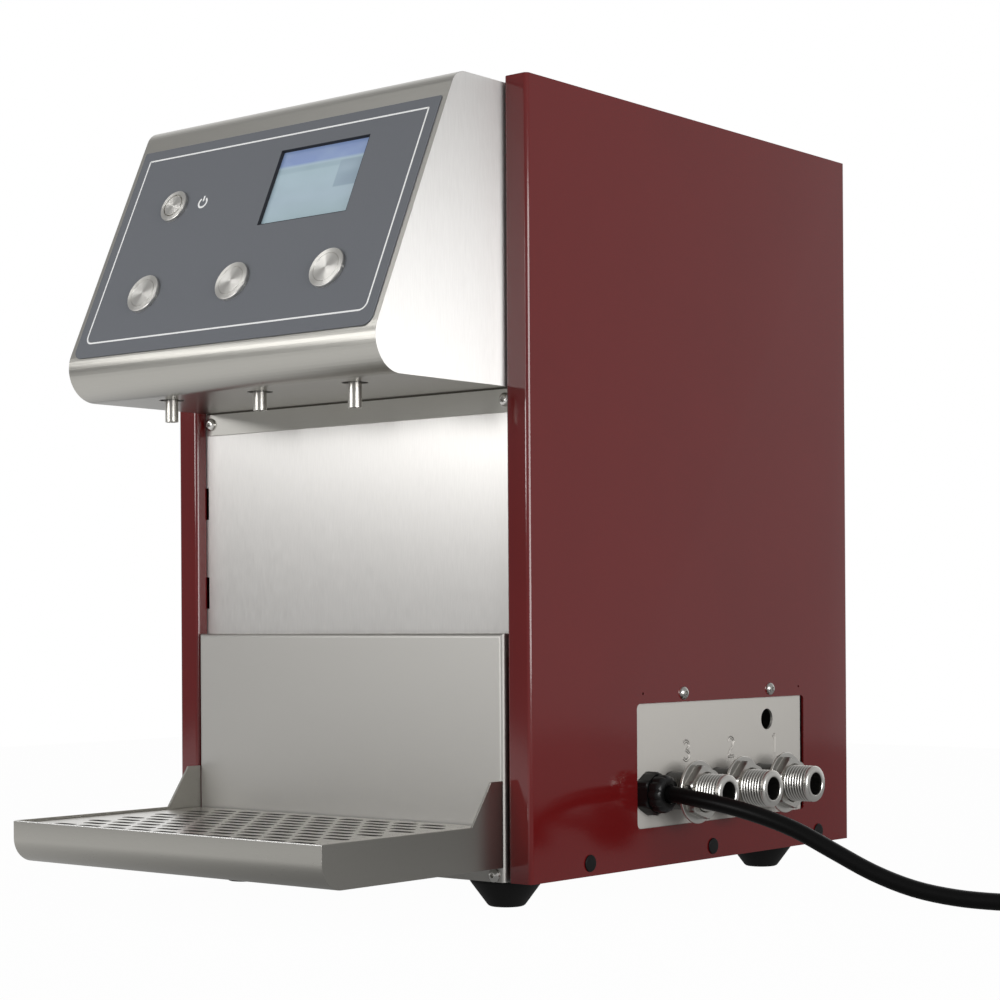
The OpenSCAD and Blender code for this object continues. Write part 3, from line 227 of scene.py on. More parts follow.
def grained(tree, shader, where, scale, rough=None, tones=None, relief=None, detail=2.0):
    """Noise of so many grains a metre sets a material's roughness from low to high, its tone between two
    colours, and its relief by a strength and a depth in metres, each where it is given."""
    grain = add(tree, "ShaderNodeTexNoise", {"Vector": where}, Scale=scale, Detail=detail).outputs[0]
    if rough:
        gloss = add(tree, "ShaderNodeMapRange", {"Value": grain}, To_Min=rough[0], To_Max=rough[1])
        tree.links.new(gloss.outputs[0], shader.inputs["Roughness"])
    if tones:
        tone = add(tree, "ShaderNodeMix", {"Factor": grain}, data_type="RGBA")
        tone.inputs[6].default_value, tone.inputs[7].default_value = linear(tones[0]), linear(tones[1])
        tree.links.new(tone.outputs[2], shader.inputs["Base Color"])
    if relief:
        skin = add(tree, "ShaderNodeBump", {"Height": grain}, Strength=relief[0], Distance=relief[1])
        tree.links.new(skin.outputs[0], shader.inputs["Normal"])


# Cable rubber: near black, half matt, with the faint grain of extrusion, drawn 1 mm wide to show.
rubber, tree, shader, where = finish("black extruded cable rubber", Specular_IOR_Level=0.12)
grained(tree, shader, where, 900.0, (0.32, 0.44), ("#050505", "#0b0b0b"), (0.08, 0.0002), 3.0)

wire = bpy.data.curves.new("mains_cord", "CURVE")
wire.dimensions = "3D"
wire.bevel_depth = CORD_D / 2000
wire.bevel_resolution = 6
wire.use_fill_caps = True
spline = wire.splines.new("POLY")
spline.points.add(len(line) - 1)
spline.points.foreach_set("co", np.hstack([line, np.ones((len(line), 1))]).ravel())
spline.use_smooth = True
wire.materials.append(rubber)
cord = bpy.data.objects.new("mains_cord", wire)
bpy.context.scene.collection.objects.link(cord)
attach(cord, "housing")
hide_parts("cord_free", "cord_coil")

# Plug and tie: a moulded plug on the lead's end and a strap round the turns, both black with soft edges.
body_of = {node: body for body, nodes in frame["record"]["behaviour"]["bodies"].items() for node in nodes}
SAME_POINT, SAME_FLAT = 2e-6, math.radians(0.3)


def stands_for(piece, *nodes):
    """The piece takes the nodes' place on the first one's body."""
    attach(piece, body_of[nodes[0]])
    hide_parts(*nodes)
    return piece


def eased(node, material, width, chosen=None, steps=3):
    """The node's solid with its flats joined and its sharp edges rounded by so many mm; chosen, a test on
    the ends (n, 2, 3) of its edges in mm from the flange plane, picks the edges instead."""
    form = bmesh.new()
    form.from_mesh(cad[node].data)
    bmesh.ops.remove_doubles(form, verts=form.verts, dist=SAME_POINT)
    bmesh.ops.dissolve_limit(form, angle_limit=SAME_FLAT, verts=form.verts, edges=form.edges)
    mesh = bpy.data.meshes.new(node + "_eased")
    form.to_mesh(mesh)
    form.free()
    mesh.polygons.foreach_set("use_smooth", np.ones(len(mesh.polygons), bool))
    mesh.set_sharp_from_angle(angle=SHARP)
    mesh.materials.clear()
    mesh.materials.append(material)
    piece = bpy.data.objects.new(node + "_eased", mesh)
    bpy.context.scene.collection.objects.link(piece)
    rounding = piece.modifiers.new("rounding", "BEVEL")
    rounding.width, rounding.segments, rounding.harden_normals = width / 1000, steps, True
    rounding.limit_method, rounding.angle_limit = "ANGLE", SHARP
    if chosen:
        points = np.empty(len(mesh.vertices) * 3)
        ends = np.empty(len(mesh.edges) * 2, int)
        mesh.vertices.foreach_get("co", points)
        mesh.edges.foreach_get("vertices", ends)
        picked = chosen((points.reshape(-1, 3) * 1000 - BODY)[ends].reshape(-1, 2, 3))
        weight = mesh.attributes.new("bevel_weight_edge", "FLOAT", "EDGE")
        weight.data.foreach_set("value", picked.astype(float))
        rounding.limit_method = "WEIGHT"
    return stands_for(piece, node)


plug = eased("mains_plug", rubber, 0.6)
tie = eased("cord_tie", rubber, 0.3)


# Side panels: folded sheet steel with turned front and rear flanges, sprayed wine red. The gloss
# enamel mirrors what stands on it, with the slight unevenness of a sprayed coat: clouds about 70 mm
# wide, and orange peel of 2 mm.
paint, tree, shader, where = finish("wine red sprayed enamel on sheet steel", Specular_IOR_Level=0.62)
grained(tree, shader, where, 14.0, (0.07, 0.13), ("#5e1011", "#651314"))
grained(tree, shader, where, 420.0, relief=(0.025, 0.0004), detail=1.0)
for node in ("side_panel_left", "side_panel_right"):
    eased(node, paint, 0.4)


# Plugs and feet: black moulded rubber and nylon. The feet are tapered and screwed up into the base
# through a pocket, and the plugs close the holes along the panels' lower edge.
FOOT_X, FOOT_Y, FOOT_H, FOOT_SIDES = 99.5, (20.0, 267.0), 15.0, 72
HEAD_R, SCREW_R, POCKET, FOOT_R, PAD_R = 4.6, 2.3, 7.0, 19.5, 10.4
THREAD_PITCH, THREAD_FLANK, THREAD_CREST = 1.814, 1.25, 0.12


def grid_faces(rows, cols, loop=False):
    """Quads of a closed-column grid of points, row by row; loop joins the last row to the first."""
    i, j = np.meshgrid(np.arange(rows if loop else rows - 1), np.arange(cols), indexing="ij")
    k, n = (j + 1) % cols, (i + 1) % rows
    return np.stack([i * cols + j, i * cols + k, n * cols + k, n * cols + j], -1).reshape(-1, 4).tolist()


def turned(profile, sides, ring=True, flat=None, turn_by=0.0, ribs=0, rib_depth=0.0, thread=None):
    """Profile (height, radius) turned about the height: (r cos a, r sin a, h). A ring's profile is closed,
    others get flat ends. A flat cuts it to a hexagon, r <= flat / cos(a to the nearest flat); ribs add
    waves round its outermost tenth; thread, a depth per height, cuts a helix,
    r - depth * |saw(h / pitch - a / turn)|."""
    h, r = np.array(profile, float).T
    a = np.linspace(0, 2 * np.pi, sides, endpoint=False)
    radius = np.repeat(r[:, None], sides, 1)
    if flat:
        nearest = (a - math.radians(turn_by)) % (np.pi / 3) - np.pi / 6
        radius = np.minimum(radius, flat / np.cos(nearest))
    if ribs:
        outermost = (r > 0.9 * r.max())[:, None]
        radius = radius - rib_depth * outermost * (0.5 - 0.5 * np.cos(ribs * a)) ** 3
    if thread is not None:
        saw = (h[:, None] / THREAD_PITCH - a / (2 * np.pi)) % 1.0
        notch = np.clip(np.abs(2 * saw - 1) * THREAD_FLANK - THREAD_CREST, 0, 1)
        radius = radius - np.array(thread)[:, None] * notch
    points = np.stack([radius * np.cos(a), radius * np.sin(a), np.repeat(h[:, None], sides, 1)], -1)
    faces = grid_faces(len(h), sides, ring)
    if not ring:
        last = (len(h) - 1) * sides
        faces += [list(range(sides))[::-1], list(range(last, last + sides))]
    return points.reshape(-1, 3), faces


def together(parts):
    """Several (points, faces) as one."""
    starts = np.cumsum([0] + [len(points) for points, _ in parts])
    return (np.vstack([points for points, _ in parts]),
            [[v + start for v in face] for (_, faces), start in zip(parts, starts) for face in faces])


def stood(part, origin, axes=np.eye(3)):
    """A part's own X, Y and Z laid along the three axes from the origin, placed in the row's frame."""
    points, faces = part
    return placed(points @ np.asarray(axes, float) + origin), faces


# Moulded rubber: matt black, with the grain of the mould, drawn 1 mm wide to show.
moulded, tree, shader, where = finish("black moulded rubber", Base_Color=linear("#080808"),
                                      Specular_IOR_Level=0.25)
grained(tree, shader, where, 1100.0, (0.42, 0.62), relief=(0.25, 0.0002), detail=4.0)
foot = turned([(0, HEAD_R), (0, 7.98), (0.1, 8.72), (0.34, 9.38), (0.72, 9.95), (1.22, PAD_R), (13.1, 19.2),
               (13.6, FOOT_R), (14.7, FOOT_R), (FOOT_H, 19.2), (FOOT_H, SCREW_R), (POCKET, SCREW_R),
               (POCKET, HEAD_R)], FOOT_SIDES)
feet = [stood(foot, (side * FOOT_X, y, 0)) for side in (-1, 1) for y in FOOT_Y]
stands_for(piece_of("rubber_feet", *together(feet), moulded), "feet")
eased("side_plugs", moulded, 0.5)


# Sheet steel: stainless, some brushed upright or along its folds and some plain satin. The brush leaves
# streaks about 0.2 mm wide, drawn 0.5 mm wide to show, that change the gloss and scatter it sideways.
STREAK, RUN, ASKEW, GROOVE = 1 / 0.0005, 1 / 0.008, 0.03, 0.0002
UPRIGHT, ALONG = (STREAK, STREAK, RUN), (RUN, STREAK, STREAK)


def brushed_steel(name, strength, spread, colours, rough, scale):
    """Stainless steel with streaks: noise stretched by the scale sets tone, gloss and grooves, and the light
    is spread across them, along the normal x their run, the axis of the least scale, a little askew."""
    material, tree, shader, where = finish(name, Metallic=1.0, Anisotropic=spread)
    grain = add(tree, "ShaderNodeMapping", {"Vector": where}, Scale=scale)
    streak = add(tree, "ShaderNodeTexNoise", {"Vector": grain.outputs[0]}, Scale=1.0, Detail=3.0).outputs[0]
    tone = add(tree, "ShaderNodeMix", {"Factor": streak}, data_type="RGBA")
    tone.inputs[6].default_value, tone.inputs[7].default_value = linear(colours[0]), linear(colours[1])
    gloss = add(tree, "ShaderNodeMapRange", {"Value": streak}, From_Min=0.25, From_Max=0.75,
                To_Min=rough[0], To_Max=rough[1])
    lines = add(tree, "ShaderNodeBump", {"Height": streak}, Strength=strength, Distance=GROOVE)
    look = add(tree, "ShaderNodeTexCoord").outputs["Normal"]
    across = add(tree, "ShaderNodeVectorMath", {0: look}, operation="CROSS_PRODUCT")
    across.inputs[1].default_value = np.eye(3)[int(np.argmin(scale))] + ASKEW
    for socket, source in (("Base Color", tone.outputs[2]), ("Roughness", gloss.outputs[0]),
                           ("Normal", lines.outputs[0]), ("Tangent", across.outputs[0])):
        tree.links.new(source, shader.inputs[socket])
    return material


def refinished(piece, material, chosen):
    """Gives another material to the faces that chosen picks by their normals and their middles in mm."""
    faces = piece.data.polygons
    look, middle = np.empty((2, len(faces) * 3))
    index = np.empty(len(faces), np.int32)
    faces.foreach_get("normal", look)
    faces.foreach_get("center", middle)
    faces.foreach_get("material_index", index)
    picked = chosen(look.reshape(-1, 3), middle.reshape(-1, 3) * 1000 - BODY)
    index[picked] = len(piece.data.materials)
    piece.data.materials.append(material)
    faces.foreach_set("material_index", index)


upright = brushed_steel("stainless steel brushed upright", 0.07, 0.8, ("#cac8c5", "#d8d6d3"),
                        (0.36, 0.42), UPRIGHT)
satin = brushed_steel("stainless steel plain satin", 0.01, 0.0, ("#aeaca8", "#b3b1ad"), (0.5, 0.54), ALONG)
folded = brushed_steel("stainless steel brushed along its folds", 0.012, 0.35, ("#b2b0aa", "#b7b5af"),
                       (0.28, 0.31), ALONG)
cheek = brushed_steel("stainless steel brushed bright upright", 0.06, 0.9, ("#d2d0ce", "#e2e1df"),
                      (0.47, 0.54), UPRIGHT)

# Screws: turned bright, with tool marks that break up the shine, drawn 1.4 mm wide to show.
screw_steel, tree, shader, where = finish("stainless steel turned bright", Metallic=1.0,
                                          Base_Color=linear("#c9c7c3"))
grained(tree, shader, where, 700.0, (0.12, 0.26))


# Housing: base tray, top, back with its vents, the bright splash panel behind the cups and the plain
# panel below it, all folded stainless sheet held by button-head screws.
for node in ("base_plate", "rear_panel", "lower_panel"):
    eased(node, satin, 0.3)
for node in ("top_panel", "splash_panel"):
    eased(node, upright, 0.3)
for node in ("rear_screws", "splash_screws", "lower_panel_screws", "foot_screws"):
    eased(node, screw_steel, 0.15, steps=2)


# Hood: one sheet folded over the top, down the slant, round a wide roll and back underneath to a
# down-turned edge, with welded cheeks whose edges are ground round. Its underside is painted darker as
# shade, its down-turned edge painted lighter, and a dark band of painted shade runs along the fold between
# them.
HOOD_X, UNDER_Z, BACK_Y, CORNER, SLACK, FACING, FLAT = 115.0, 274.0, 7.0, 0.9, 0.05, 0.7, 0.98


def cheek_edges(ends):
    """Edges in the cheeks' outer planes, apart from those at the open back."""
    x, y, z = np.moveaxis(ends, 2, 0)
    return (np.abs(x) > HOOD_X - SLACK).all(1) & (y < BACK_Y).any(1) & (z > UNDER_Z - 2 * SLACK).all(1)


# Painted shade: a darker copy of the folded steel for the hood's underside.
underside_shade_steel = brushed_steel("stainless steel painted darker underneath as shade", 0.012, 0.35, ("#9f9d97", "#a4a29c"), (0.28, 0.31), ALONG)
# Painted light: a lighter copy of the folded steel for the down-turned edge.
down_edge_painted_lighter = brushed_steel("stainless steel painted lighter on the down-turned edge", 0.012, 0.35, ("#c1bfb9", "#c7c5bf"),
                            (0.28, 0.31), ALONG)
# Painted shade: a dark band along the fold between the underside and the down-turned edge.
fold_shade_steel = brushed_steel("stainless steel painted dark as shade along the fold", 0.01, 0.0, ("#56534d", "#5f5c56"),
                     (0.5, 0.6), ALONG)
hood = eased("hood_shell", folded, 1.6, cheek_edges, 4)
form = bmesh.new()
form.from_mesh(hood.data)
bmesh.ops.bisect_plane(form, geom=[*form.verts, *form.edges, *form.faces],
                       plane_co=(0, 0, (UNDER_Z - CORNER) / 1000), plane_no=(0, 0, 1))
form.to_mesh(hood.data)
form.free()
refinished(hood, cheek, lambda look, at: np.abs(look[:, 0]) > FACING)
refinished(hood, underside_shade_steel, lambda look, at: look[:, 2] < -FLAT)
refinished(hood, down_edge_painted_lighter, lambda look, at: (look[:, 1] < -FACING) & (at[:, 2] < UNDER_Z - CORNER))
refinished(hood, fold_shade_steel, lambda look, at: (look[:, 1] < -FACING)
           & (np.abs(at[:, 2] - UNDER_Z + CORNER / 2) < CORNER / 2))


# Control overlay: slate-grey printed polyester film on the slant, with a white line round the controls
# and the power mark. The film is nearly matt, and its fine grain is drawn 0.7 mm wide to show.
SLANT = np.radians(65.75)
SLANT_AXES = np.array([[1, 0, 0], [0, math.cos(SLANT), math.sin(SLANT)],
                       [0, -math.sin(SLANT), math.cos(SLANT)]])
SLANT_FOOT = np.array([0, -107.0, 274.0])
FILM_TOP, INK, SUNK = 0.6, 0.06, 0.02
LINE_X, LINE_LOW, LINE_HIGH, LINE_R, LINE_W = 104.9, 34.0, 152.0, 4.5, 0.95
MARK, MARK_R, MARK_W = np.array([-47.0, 117.0]), 3.0, 1.15
MARK_ARC, MARK_STEM = (125, 415), np.array([[0, 0.9], [0, 2.6], [0, 4.3]])

film, tree, shader, where = finish("slate grey printed polyester film", Specular_IOR_Level=0.35)
grained(tree, shader, where, 1500.0, (0.42, 0.58), ("#62656a", "#6b6e74"), (0.08, 0.0001), 3.0)
eased("control_overlay", film, 0.15, steps=2)

# Ink: opaque white, laid on through a screen, with the film's grain in its gloss.
ink, tree, shader, where = finish("white screen-printed ink", Base_Color=linear("#f4f4f3"))
grained(tree, shader, where, 1500.0, (0.35, 0.5))


def printed(path, width, closed=False):
    """A flat band of ink along a path (n, 2) on the film: half its width to each side, as thick as ink."""
    path = np.asarray(path, float)
    ahead = np.roll(path, -1, 0) - np.roll(path, 1, 0)
    if not closed:
        ahead[0], ahead[-1] = path[1] - path[0], path[-1] - path[-2]
    ahead /= np.linalg.norm(ahead, axis=1)[:, None]
    aside = np.stack([-ahead[:, 1], ahead[:, 0]], 1) * width / 2
    low, high = np.full((len(path), 1), FILM_TOP - SUNK), np.full((len(path), 1), FILM_TOP + INK)
    points = np.stack([np.hstack([path - aside, low]), np.hstack([path + aside, low]),
                       np.hstack([path + aside, high]), np.hstack([path - aside, high])], 1)
    faces = grid_faces(len(path), 4, closed)
    if not closed:
        faces += [[3, 2, 1, 0], [4 * len(path) - 4 + k for k in range(4)]]
    return points.reshape(-1, 3), faces


bend = np.radians(np.linspace(0, 90, 9))[:, None]
left_low = [-LINE_X + LINE_R, LINE_LOW + LINE_R] + LINE_R * np.hstack([-np.cos(bend), -np.sin(bend)])
right_low = [LINE_X - LINE_R, LINE_LOW + LINE_R] + LINE_R * np.hstack([np.sin(bend), -np.cos(bend)])
mitre = LINE_W * 0.02
upper = [[LINE_X, LINE_HIGH - mitre], [LINE_X - mitre, LINE_HIGH],
         [-LINE_X + mitre, LINE_HIGH], [-LINE_X, LINE_HIGH - mitre]]
border = printed(np.vstack([left_low, right_low, upper]), LINE_W, True)
arc = np.radians(np.linspace(*MARK_ARC, 40))[:, None]
mark = [printed(MARK + MARK_R * np.hstack([np.cos(arc), np.sin(arc)]), MARK_W),
        printed(MARK + MARK_STEM, MARK_W)]
lines = stood(together([border] + mark), SLANT_FOOT, SLANT_AXES)
lines = piece_of("overlay_print", *lines, ink, smooth=False)
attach(lines, "housing")


# Screen: a colour display lit from behind under a clear window, set 2 mm deep in the slant, with a black
# sheet round the cut-out's wall as painted shade. It shows a blue heading over a pale field with a row and a
# tile.
SCREEN_LOW, SCREEN_HIGH = 0.3613, 0.4037
SCREEN_X, SCREEN_U, SCREEN_W, SCREEN_H, SCREEN_DEEP = 36.0, 119.06, 64.5, 46.5, -1.5
SHADE_WALL, SHADE_PLAY, SHADE_UP = 0.25, 0.04, 0.01
TILE_X = [(SCREEN_X + BODY[0] + SCREEN_W * (share - 0.5)) / 1000 for share in (0.71, 0.97)]
TILE_Z, TILE_EDGE = (0.377, 0.392), 0.0008


def framed(width, height, wall, low, high):
    """A rectangular frame: its four corners, each with the wall's section from inner low to outer low."""
    corner = np.array([[-1, -1], [1, -1], [1, 1], [-1, 1]]) / 2
    inner, outer = corner * [width - 2 * wall, height - 2 * wall], corner * [width, height]
    low, high = np.full((4, 1), low), np.full((4, 1), high)
    points = np.stack([np.hstack([inner, low]), np.hstack([inner, high]),
                       np.hstack([outer, high]), np.hstack([outer, low])], 1)
    return points.reshape(-1, 3), grid_faces(4, 4, True)


# Wall shade: a matt black sheet painted as the shade on the cut-out's wall, with a grain drawn 0.6 mm wide to
# show.
wall_shade_black, tree, shader, where = finish("black sheet painted as the shade on the window's wall", Base_Color=linear("#2b2c31"),
                                   Specular_IOR_Level=0.2)
grained(tree, shader, where, 1600.0, (0.6, 0.8))
# Painted shade: a black sheet lines the cut-out's wall where the recess lies in shade.
wall_shade = framed(SCREEN_W - SHADE_PLAY, SCREEN_H - SHADE_PLAY, SHADE_WALL, SCREEN_DEEP + SHADE_UP, FILM_TOP - SUNK)
wall_shade = stood(wall_shade, SLANT_FOOT + np.array([SCREEN_X, SCREEN_U, 0]) @ SLANT_AXES, SLANT_AXES)
wall_shade = piece_of("screen_wall_shade", *wall_shade, wall_shade_black, smooth=False)
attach(wall_shade, "housing")

# Display: pale fields in rows by height and a tile at the right, lit a little, under a glossy clear coat
# and a faint uneven haze.
glass, tree, shader, where = finish("lit display under clear polycarbonate", Roughness=0.18, Coat_Weight=0.6,
                                    Coat_Roughness=0.06, Emission_Strength=0.22)
field = add(tree, "ShaderNodeSeparateXYZ", {0: where}).outputs
rows = add(tree, "ShaderNodeMapRange", {"Value": field["Z"]}, From_Min=SCREEN_LOW, From_Max=SCREEN_HIGH)
shades = add(tree, "ShaderNodeValToRGB", {"Fac": rows.outputs[0]})
stops = shades.color_ramp.elements
stops[0].color, stops[1].color = linear("#97abb2"), linear("#7a8db4")
for place, code in ((0.3, "#9dafba"), (0.66, "#9bb0b9"), (0.69, "#8fa4ae"), (0.73, "#90a5af"),
                    (0.755, "#9cb0bd"), (0.79, "#7d90ba")):
    stops.new(place).color = linear(code)
edges = []
for axis, (near, far) in (("X", TILE_X), ("Z", TILE_Z)):
    into = add(tree, "ShaderNodeMapRange", {"Value": field[axis]}, From_Min=near, From_Max=near + TILE_EDGE)
    past = add(tree, "ShaderNodeMapRange", {"Value": field[axis]}, From_Min=far, From_Max=far + TILE_EDGE,
               To_Min=1.0, To_Max=0.0)
    edges += [into.outputs[0], past.outputs[0]]
tile = edges[0]
for edge in edges[1:]:
    tile = add(tree, "ShaderNodeMath", {0: tile, 1: edge}, operation="MULTIPLY").outputs[0]
shown = add(tree, "ShaderNodeMix", {"Factor": tile, 6: shades.outputs[0]}, data_type="RGBA")
shown.inputs[7].default_value = linear("#8799a7")
bands = add(tree, "ShaderNodeMapping", {"Vector": where}, Scale=(40.0, 60.0, 90.0))
haze = add(tree, "ShaderNodeTexNoise", {"Vector": bands.outputs[0]}, Scale=1.0, Detail=1.0)
veil = add(tree, "ShaderNodeMapRange", {"Value": haze.outputs[0]}, From_Min=0.4, From_Max=0.75,
           To_Min=0.0, To_Max=0.3)
shown = add(tree, "ShaderNodeMix", {"Factor": veil.outputs[0], 6: shown.outputs[2]}, data_type="RGBA")
shown.inputs[7].default_value = linear("#acbfca")
tree.links.new(shown.outputs[2], shader.inputs["Base Color"])
tree.links.new(shown.outputs[2], shader.inputs["Emission Color"])
eased("display_window", glass, 0.1, steps=1)


# Push buttons: turned stainless steel, a flush cap in a chamfered bezel, both faced on the lathe, which
# leaves rings that throw the light into wedges. The rings are drawn 0.4 mm apart to show.
LATHE_PITCH, LATHE_DEPTH, LATHE_STEPS, BUTTON_SIDES = 0.4, 0.003, 8, 96
CAP_TOP, CAP_H, CAP_FLOOR, BARREL_L, STEM_R, STEM_IN = 2.6, 5.5, -5.0, 20.0, 2.5, 2.0
PLAY, CHAMFER, LAND, CENTRE = 0.06, 0.35, 0.1, 0.02
BUTTON_X, POWER_U, DISPENSE_U = 69.0, 117.06, 61.5
POWER_SIZES, DISPENSE_SIZES = (9.4, 7.9, 6.4, 0.35, 1.0), (11.2, 9.4, 8.2, 0.08, 0.25)
BUTTONS = [("power_button", "", -BUTTON_X, POWER_U, POWER_SIZES)]
BUTTONS += [("dispense_button", f"_{i}", BUTTON_X * (i - 2), DISPENSE_U, DISPENSE_SIZES) for i in (1, 2, 3)]


def faced(start, end):
    """Lathe rings from one radius to another across a face at the cap's height: top + depth * wave(r)."""
    r = np.linspace(start, end, max(4, int(abs(end - start) / LATHE_PITCH * LATHE_STEPS)))
    return np.stack([CAP_TOP - LATHE_DEPTH + LATHE_DEPTH * np.cos(2 * np.pi * r / LATHE_PITCH), r], 1)


def lathe_marked(piece, at):
    """Keeps at each point the way straight out from the lathe's axis, p - (p . n) n made one long, for the
    gloss."""
    points = np.empty(len(piece.data.vertices) * 3)
    piece.data.vertices.foreach_get("co", points)
    out = (points.reshape(-1, 3) - placed(at)) @ (np.eye(3) - np.outer(SLANT_AXES[2], SLANT_AXES[2]))
    out /= np.linalg.norm(out, axis=1)[:, None]
    piece.data.attributes.new("outward", "FLOAT_VECTOR", "POINT").data.foreach_set("vector", out.ravel())
    return piece


faced_steel, tree, shader, where = finish("stainless steel faced on the lathe", Metallic=1.0,
                                          Base_Color=linear("#dddbd6"), Anisotropic=0.9)
outward = add(tree, "ShaderNodeAttribute", attribute_name="outward").outputs["Vector"]
tree.links.new(outward, shader.inputs["Tangent"])
grained(tree, shader, where, 900.0, (0.27, 0.33))
for kind, number, x, u, (head_r, barrel_r, cap_r, groove, deep) in BUTTONS:
    at = SLANT_FOOT + np.array([x, u, 0]) @ SLANT_AXES
    bezel = np.vstack([[(-BARREL_L, STEM_R + PLAY), (-BARREL_L, barrel_r), (FILM_TOP, barrel_r),
                        (FILM_TOP, head_r), (CAP_TOP - CHAMFER, head_r), (CAP_TOP, head_r - CHAMFER)],
                       faced(head_r - CHAMFER - LAND, cap_r + groove + LAND),
                       [(CAP_TOP - deep, cap_r + groove), (CAP_TOP - deep, cap_r + PLAY),
                        (CAP_FLOOR, cap_r + PLAY), (CAP_FLOOR, STEM_R + PLAY)]])
    bezel = stood(turned(bezel, BUTTON_SIDES), at, SLANT_AXES)
    bezel = piece_of(kind + number + "_bezel", *bezel, faced_steel)
    stands_for(lathe_marked(bezel, at), f"{kind}_body{number}")
    cap = np.vstack([[(STEM_IN - BARREL_L, CENTRE), (STEM_IN - BARREL_L, STEM_R), (CAP_TOP - CAP_H, STEM_R),
                      (CAP_TOP - CAP_H, cap_r), (CAP_TOP - deep, cap_r)], faced(cap_r - groove, CENTRE)])
    cap = stood(turned(cap, BUTTON_SIDES, ring=False), at, SLANT_AXES)
    cap = piece_of(kind + number + "_cap", *cap, faced_steel)
    stands_for(lathe_marked(cap, at), f"{kind}_cap{number}")
eased("button_nuts", screw_steel, 0.3)


# Spouts: bent stainless tubes, cut square and deburred, that come down from the valves through punched
# holes in the hood's underside.
for i in (1, 2, 3):
    eased(f"spout_{i}", folded, 0.25)


# Drip tray and grille: satin stainless sheet. The tray hooks into the lower panel and rolls under at its
# front, where the lip is painted lighter as its highlight, and the grille, its slot walls painted dark as the
# shade in the slots, lies in it.
FRONT_Y, LIP_Z, LIP = -137.0, 45.1, 0.55
tray_steel = brushed_steel("stainless steel satin tray sheet", 0.012, 0.0, ("#a8a6a0", "#aeaca6"),
                           (0.27, 0.32), ALONG)
# Painted highlight: the front lip is painted lighter to stand for its highlight.
lip_highlight_steel = brushed_steel("stainless steel painted bright as the lip's highlight", 0.01, 0.0, ("#e9e8e5", "#f2f1ef"),
                          (0.2, 0.3), ALONG)
grille_steel = brushed_steel("stainless steel punched sheet", 0.01, 0.0, ("#c9c7c2", "#d0cec9"),
                             (0.26, 0.32), ALONG)
# Painted shade: dark steel for the grille's slot walls.
slot_shade_steel = brushed_steel("stainless steel painted dark as shade in the slots", 0.01, 0.0, ("#4f4d49", "#575551"),
                           (0.5, 0.6), UPRIGHT)
tray = eased("drip_tray", tray_steel, 0.2, steps=2)
# Painted highlight on the lip's faces.
refinished(tray, lip_highlight_steel, lambda look, at: (at[:, 1] < FRONT_Y + LIP) & (at[:, 2] > LIP_Z))
# Painted shade: the slot walls keep the dark steel, and only the flat faces get the bright one.
grille = eased("drip_grille", slot_shade_steel, 0.2, steps=2)
refinished(grille, grille_steel, lambda look, at: np.abs(look[:, 2]) > FACING)


# Connection plate: satin sheet in the side panel's cut-out, held by two screws, with the numbers of the
# drinks pressed in it by hand punches.
PLATE_FACE, PUNCH_W, DIGIT_Z, DIGIT_Y = 131.0, 1.05, 77.7, (233.8, 187.6, 142.3)
RIM = np.array([[1, -0.1], [0.85, 0.18], [0.6, 0.32], [0.35, 0.11], [0.15, 0.02],
                [-0.15, 0.02], [-0.35, 0.11], [-0.6, 0.32], [-0.85, 0.18], [-1, -0.1]])
ONE = [(-1.6, 3.6), (0.2, 5.2), (0.3, 5.0), (0.3, 0), (0.3, -5.4)]
TWO = [(-2.6, 3.2), (-1.6, 5.0), (0.6, 5.3), (2.4, 3.6), (1.6, 0.8), (-0.8, -2.2), (-2.8, -5.2),
       (-2.0, -5.4), (2.8, -5.3)]
THREE = [(-2.6, 4.2), (-0.6, 5.4), (1.8, 4.6), (2.2, 2.2), (0.2, 0.3), (-0.6, 0.1), (0.4, 0),
         (2.6, -1.6), (2.2, -4.4), (-0.2, -5.5), (-2.8, -4.2)]
plate_steel = brushed_steel("stainless steel bright satin", 0.02, 0.7, ("#bab7b2", "#c0bdb8"),
                            (0.58, 0.64), UPRIGHT)
eased("connection_plate", plate_steel, 0.2, steps=2)
eased("plate_screws", screw_steel, 0.15, steps=2)


def punched(path, y):
    """The stamp's mark along a path (n, 2) of a digit: a section with a rim thrown up on both sides, carried
    on it."""
    path = smooth_line(np.hstack([np.asarray(path, float), np.zeros((len(path), 1))]), 6)[:, :2]
    ahead = np.gradient(path, axis=0)
    ahead /= np.linalg.norm(ahead, axis=1)[:, None]
    aside = np.stack([-ahead[:, 1], ahead[:, 0]], 1)
    across = path[:, None] + PUNCH_W * RIM[None, :, :1] * aside[:, None]
    out = np.repeat(PLATE_FACE + RIM[None, :, 1], len(path), 0)
    points = np.stack([out, across[..., 0] + y, across[..., 1] + DIGIT_Z], -1).reshape(-1, 3)
    n = len(RIM)
    last = n * (len(path) - 1)
    return placed(points), grid_faces(len(path), n) + [list(range(n))[::-1], list(range(last, last + n))]


digits = [punched(path, y) for path, y in zip((ONE, TWO, THREE), DIGIT_Y)][::-1]
digits = piece_of("plate_digits", *together(digits), plate_steel)
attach(digits, "housing")


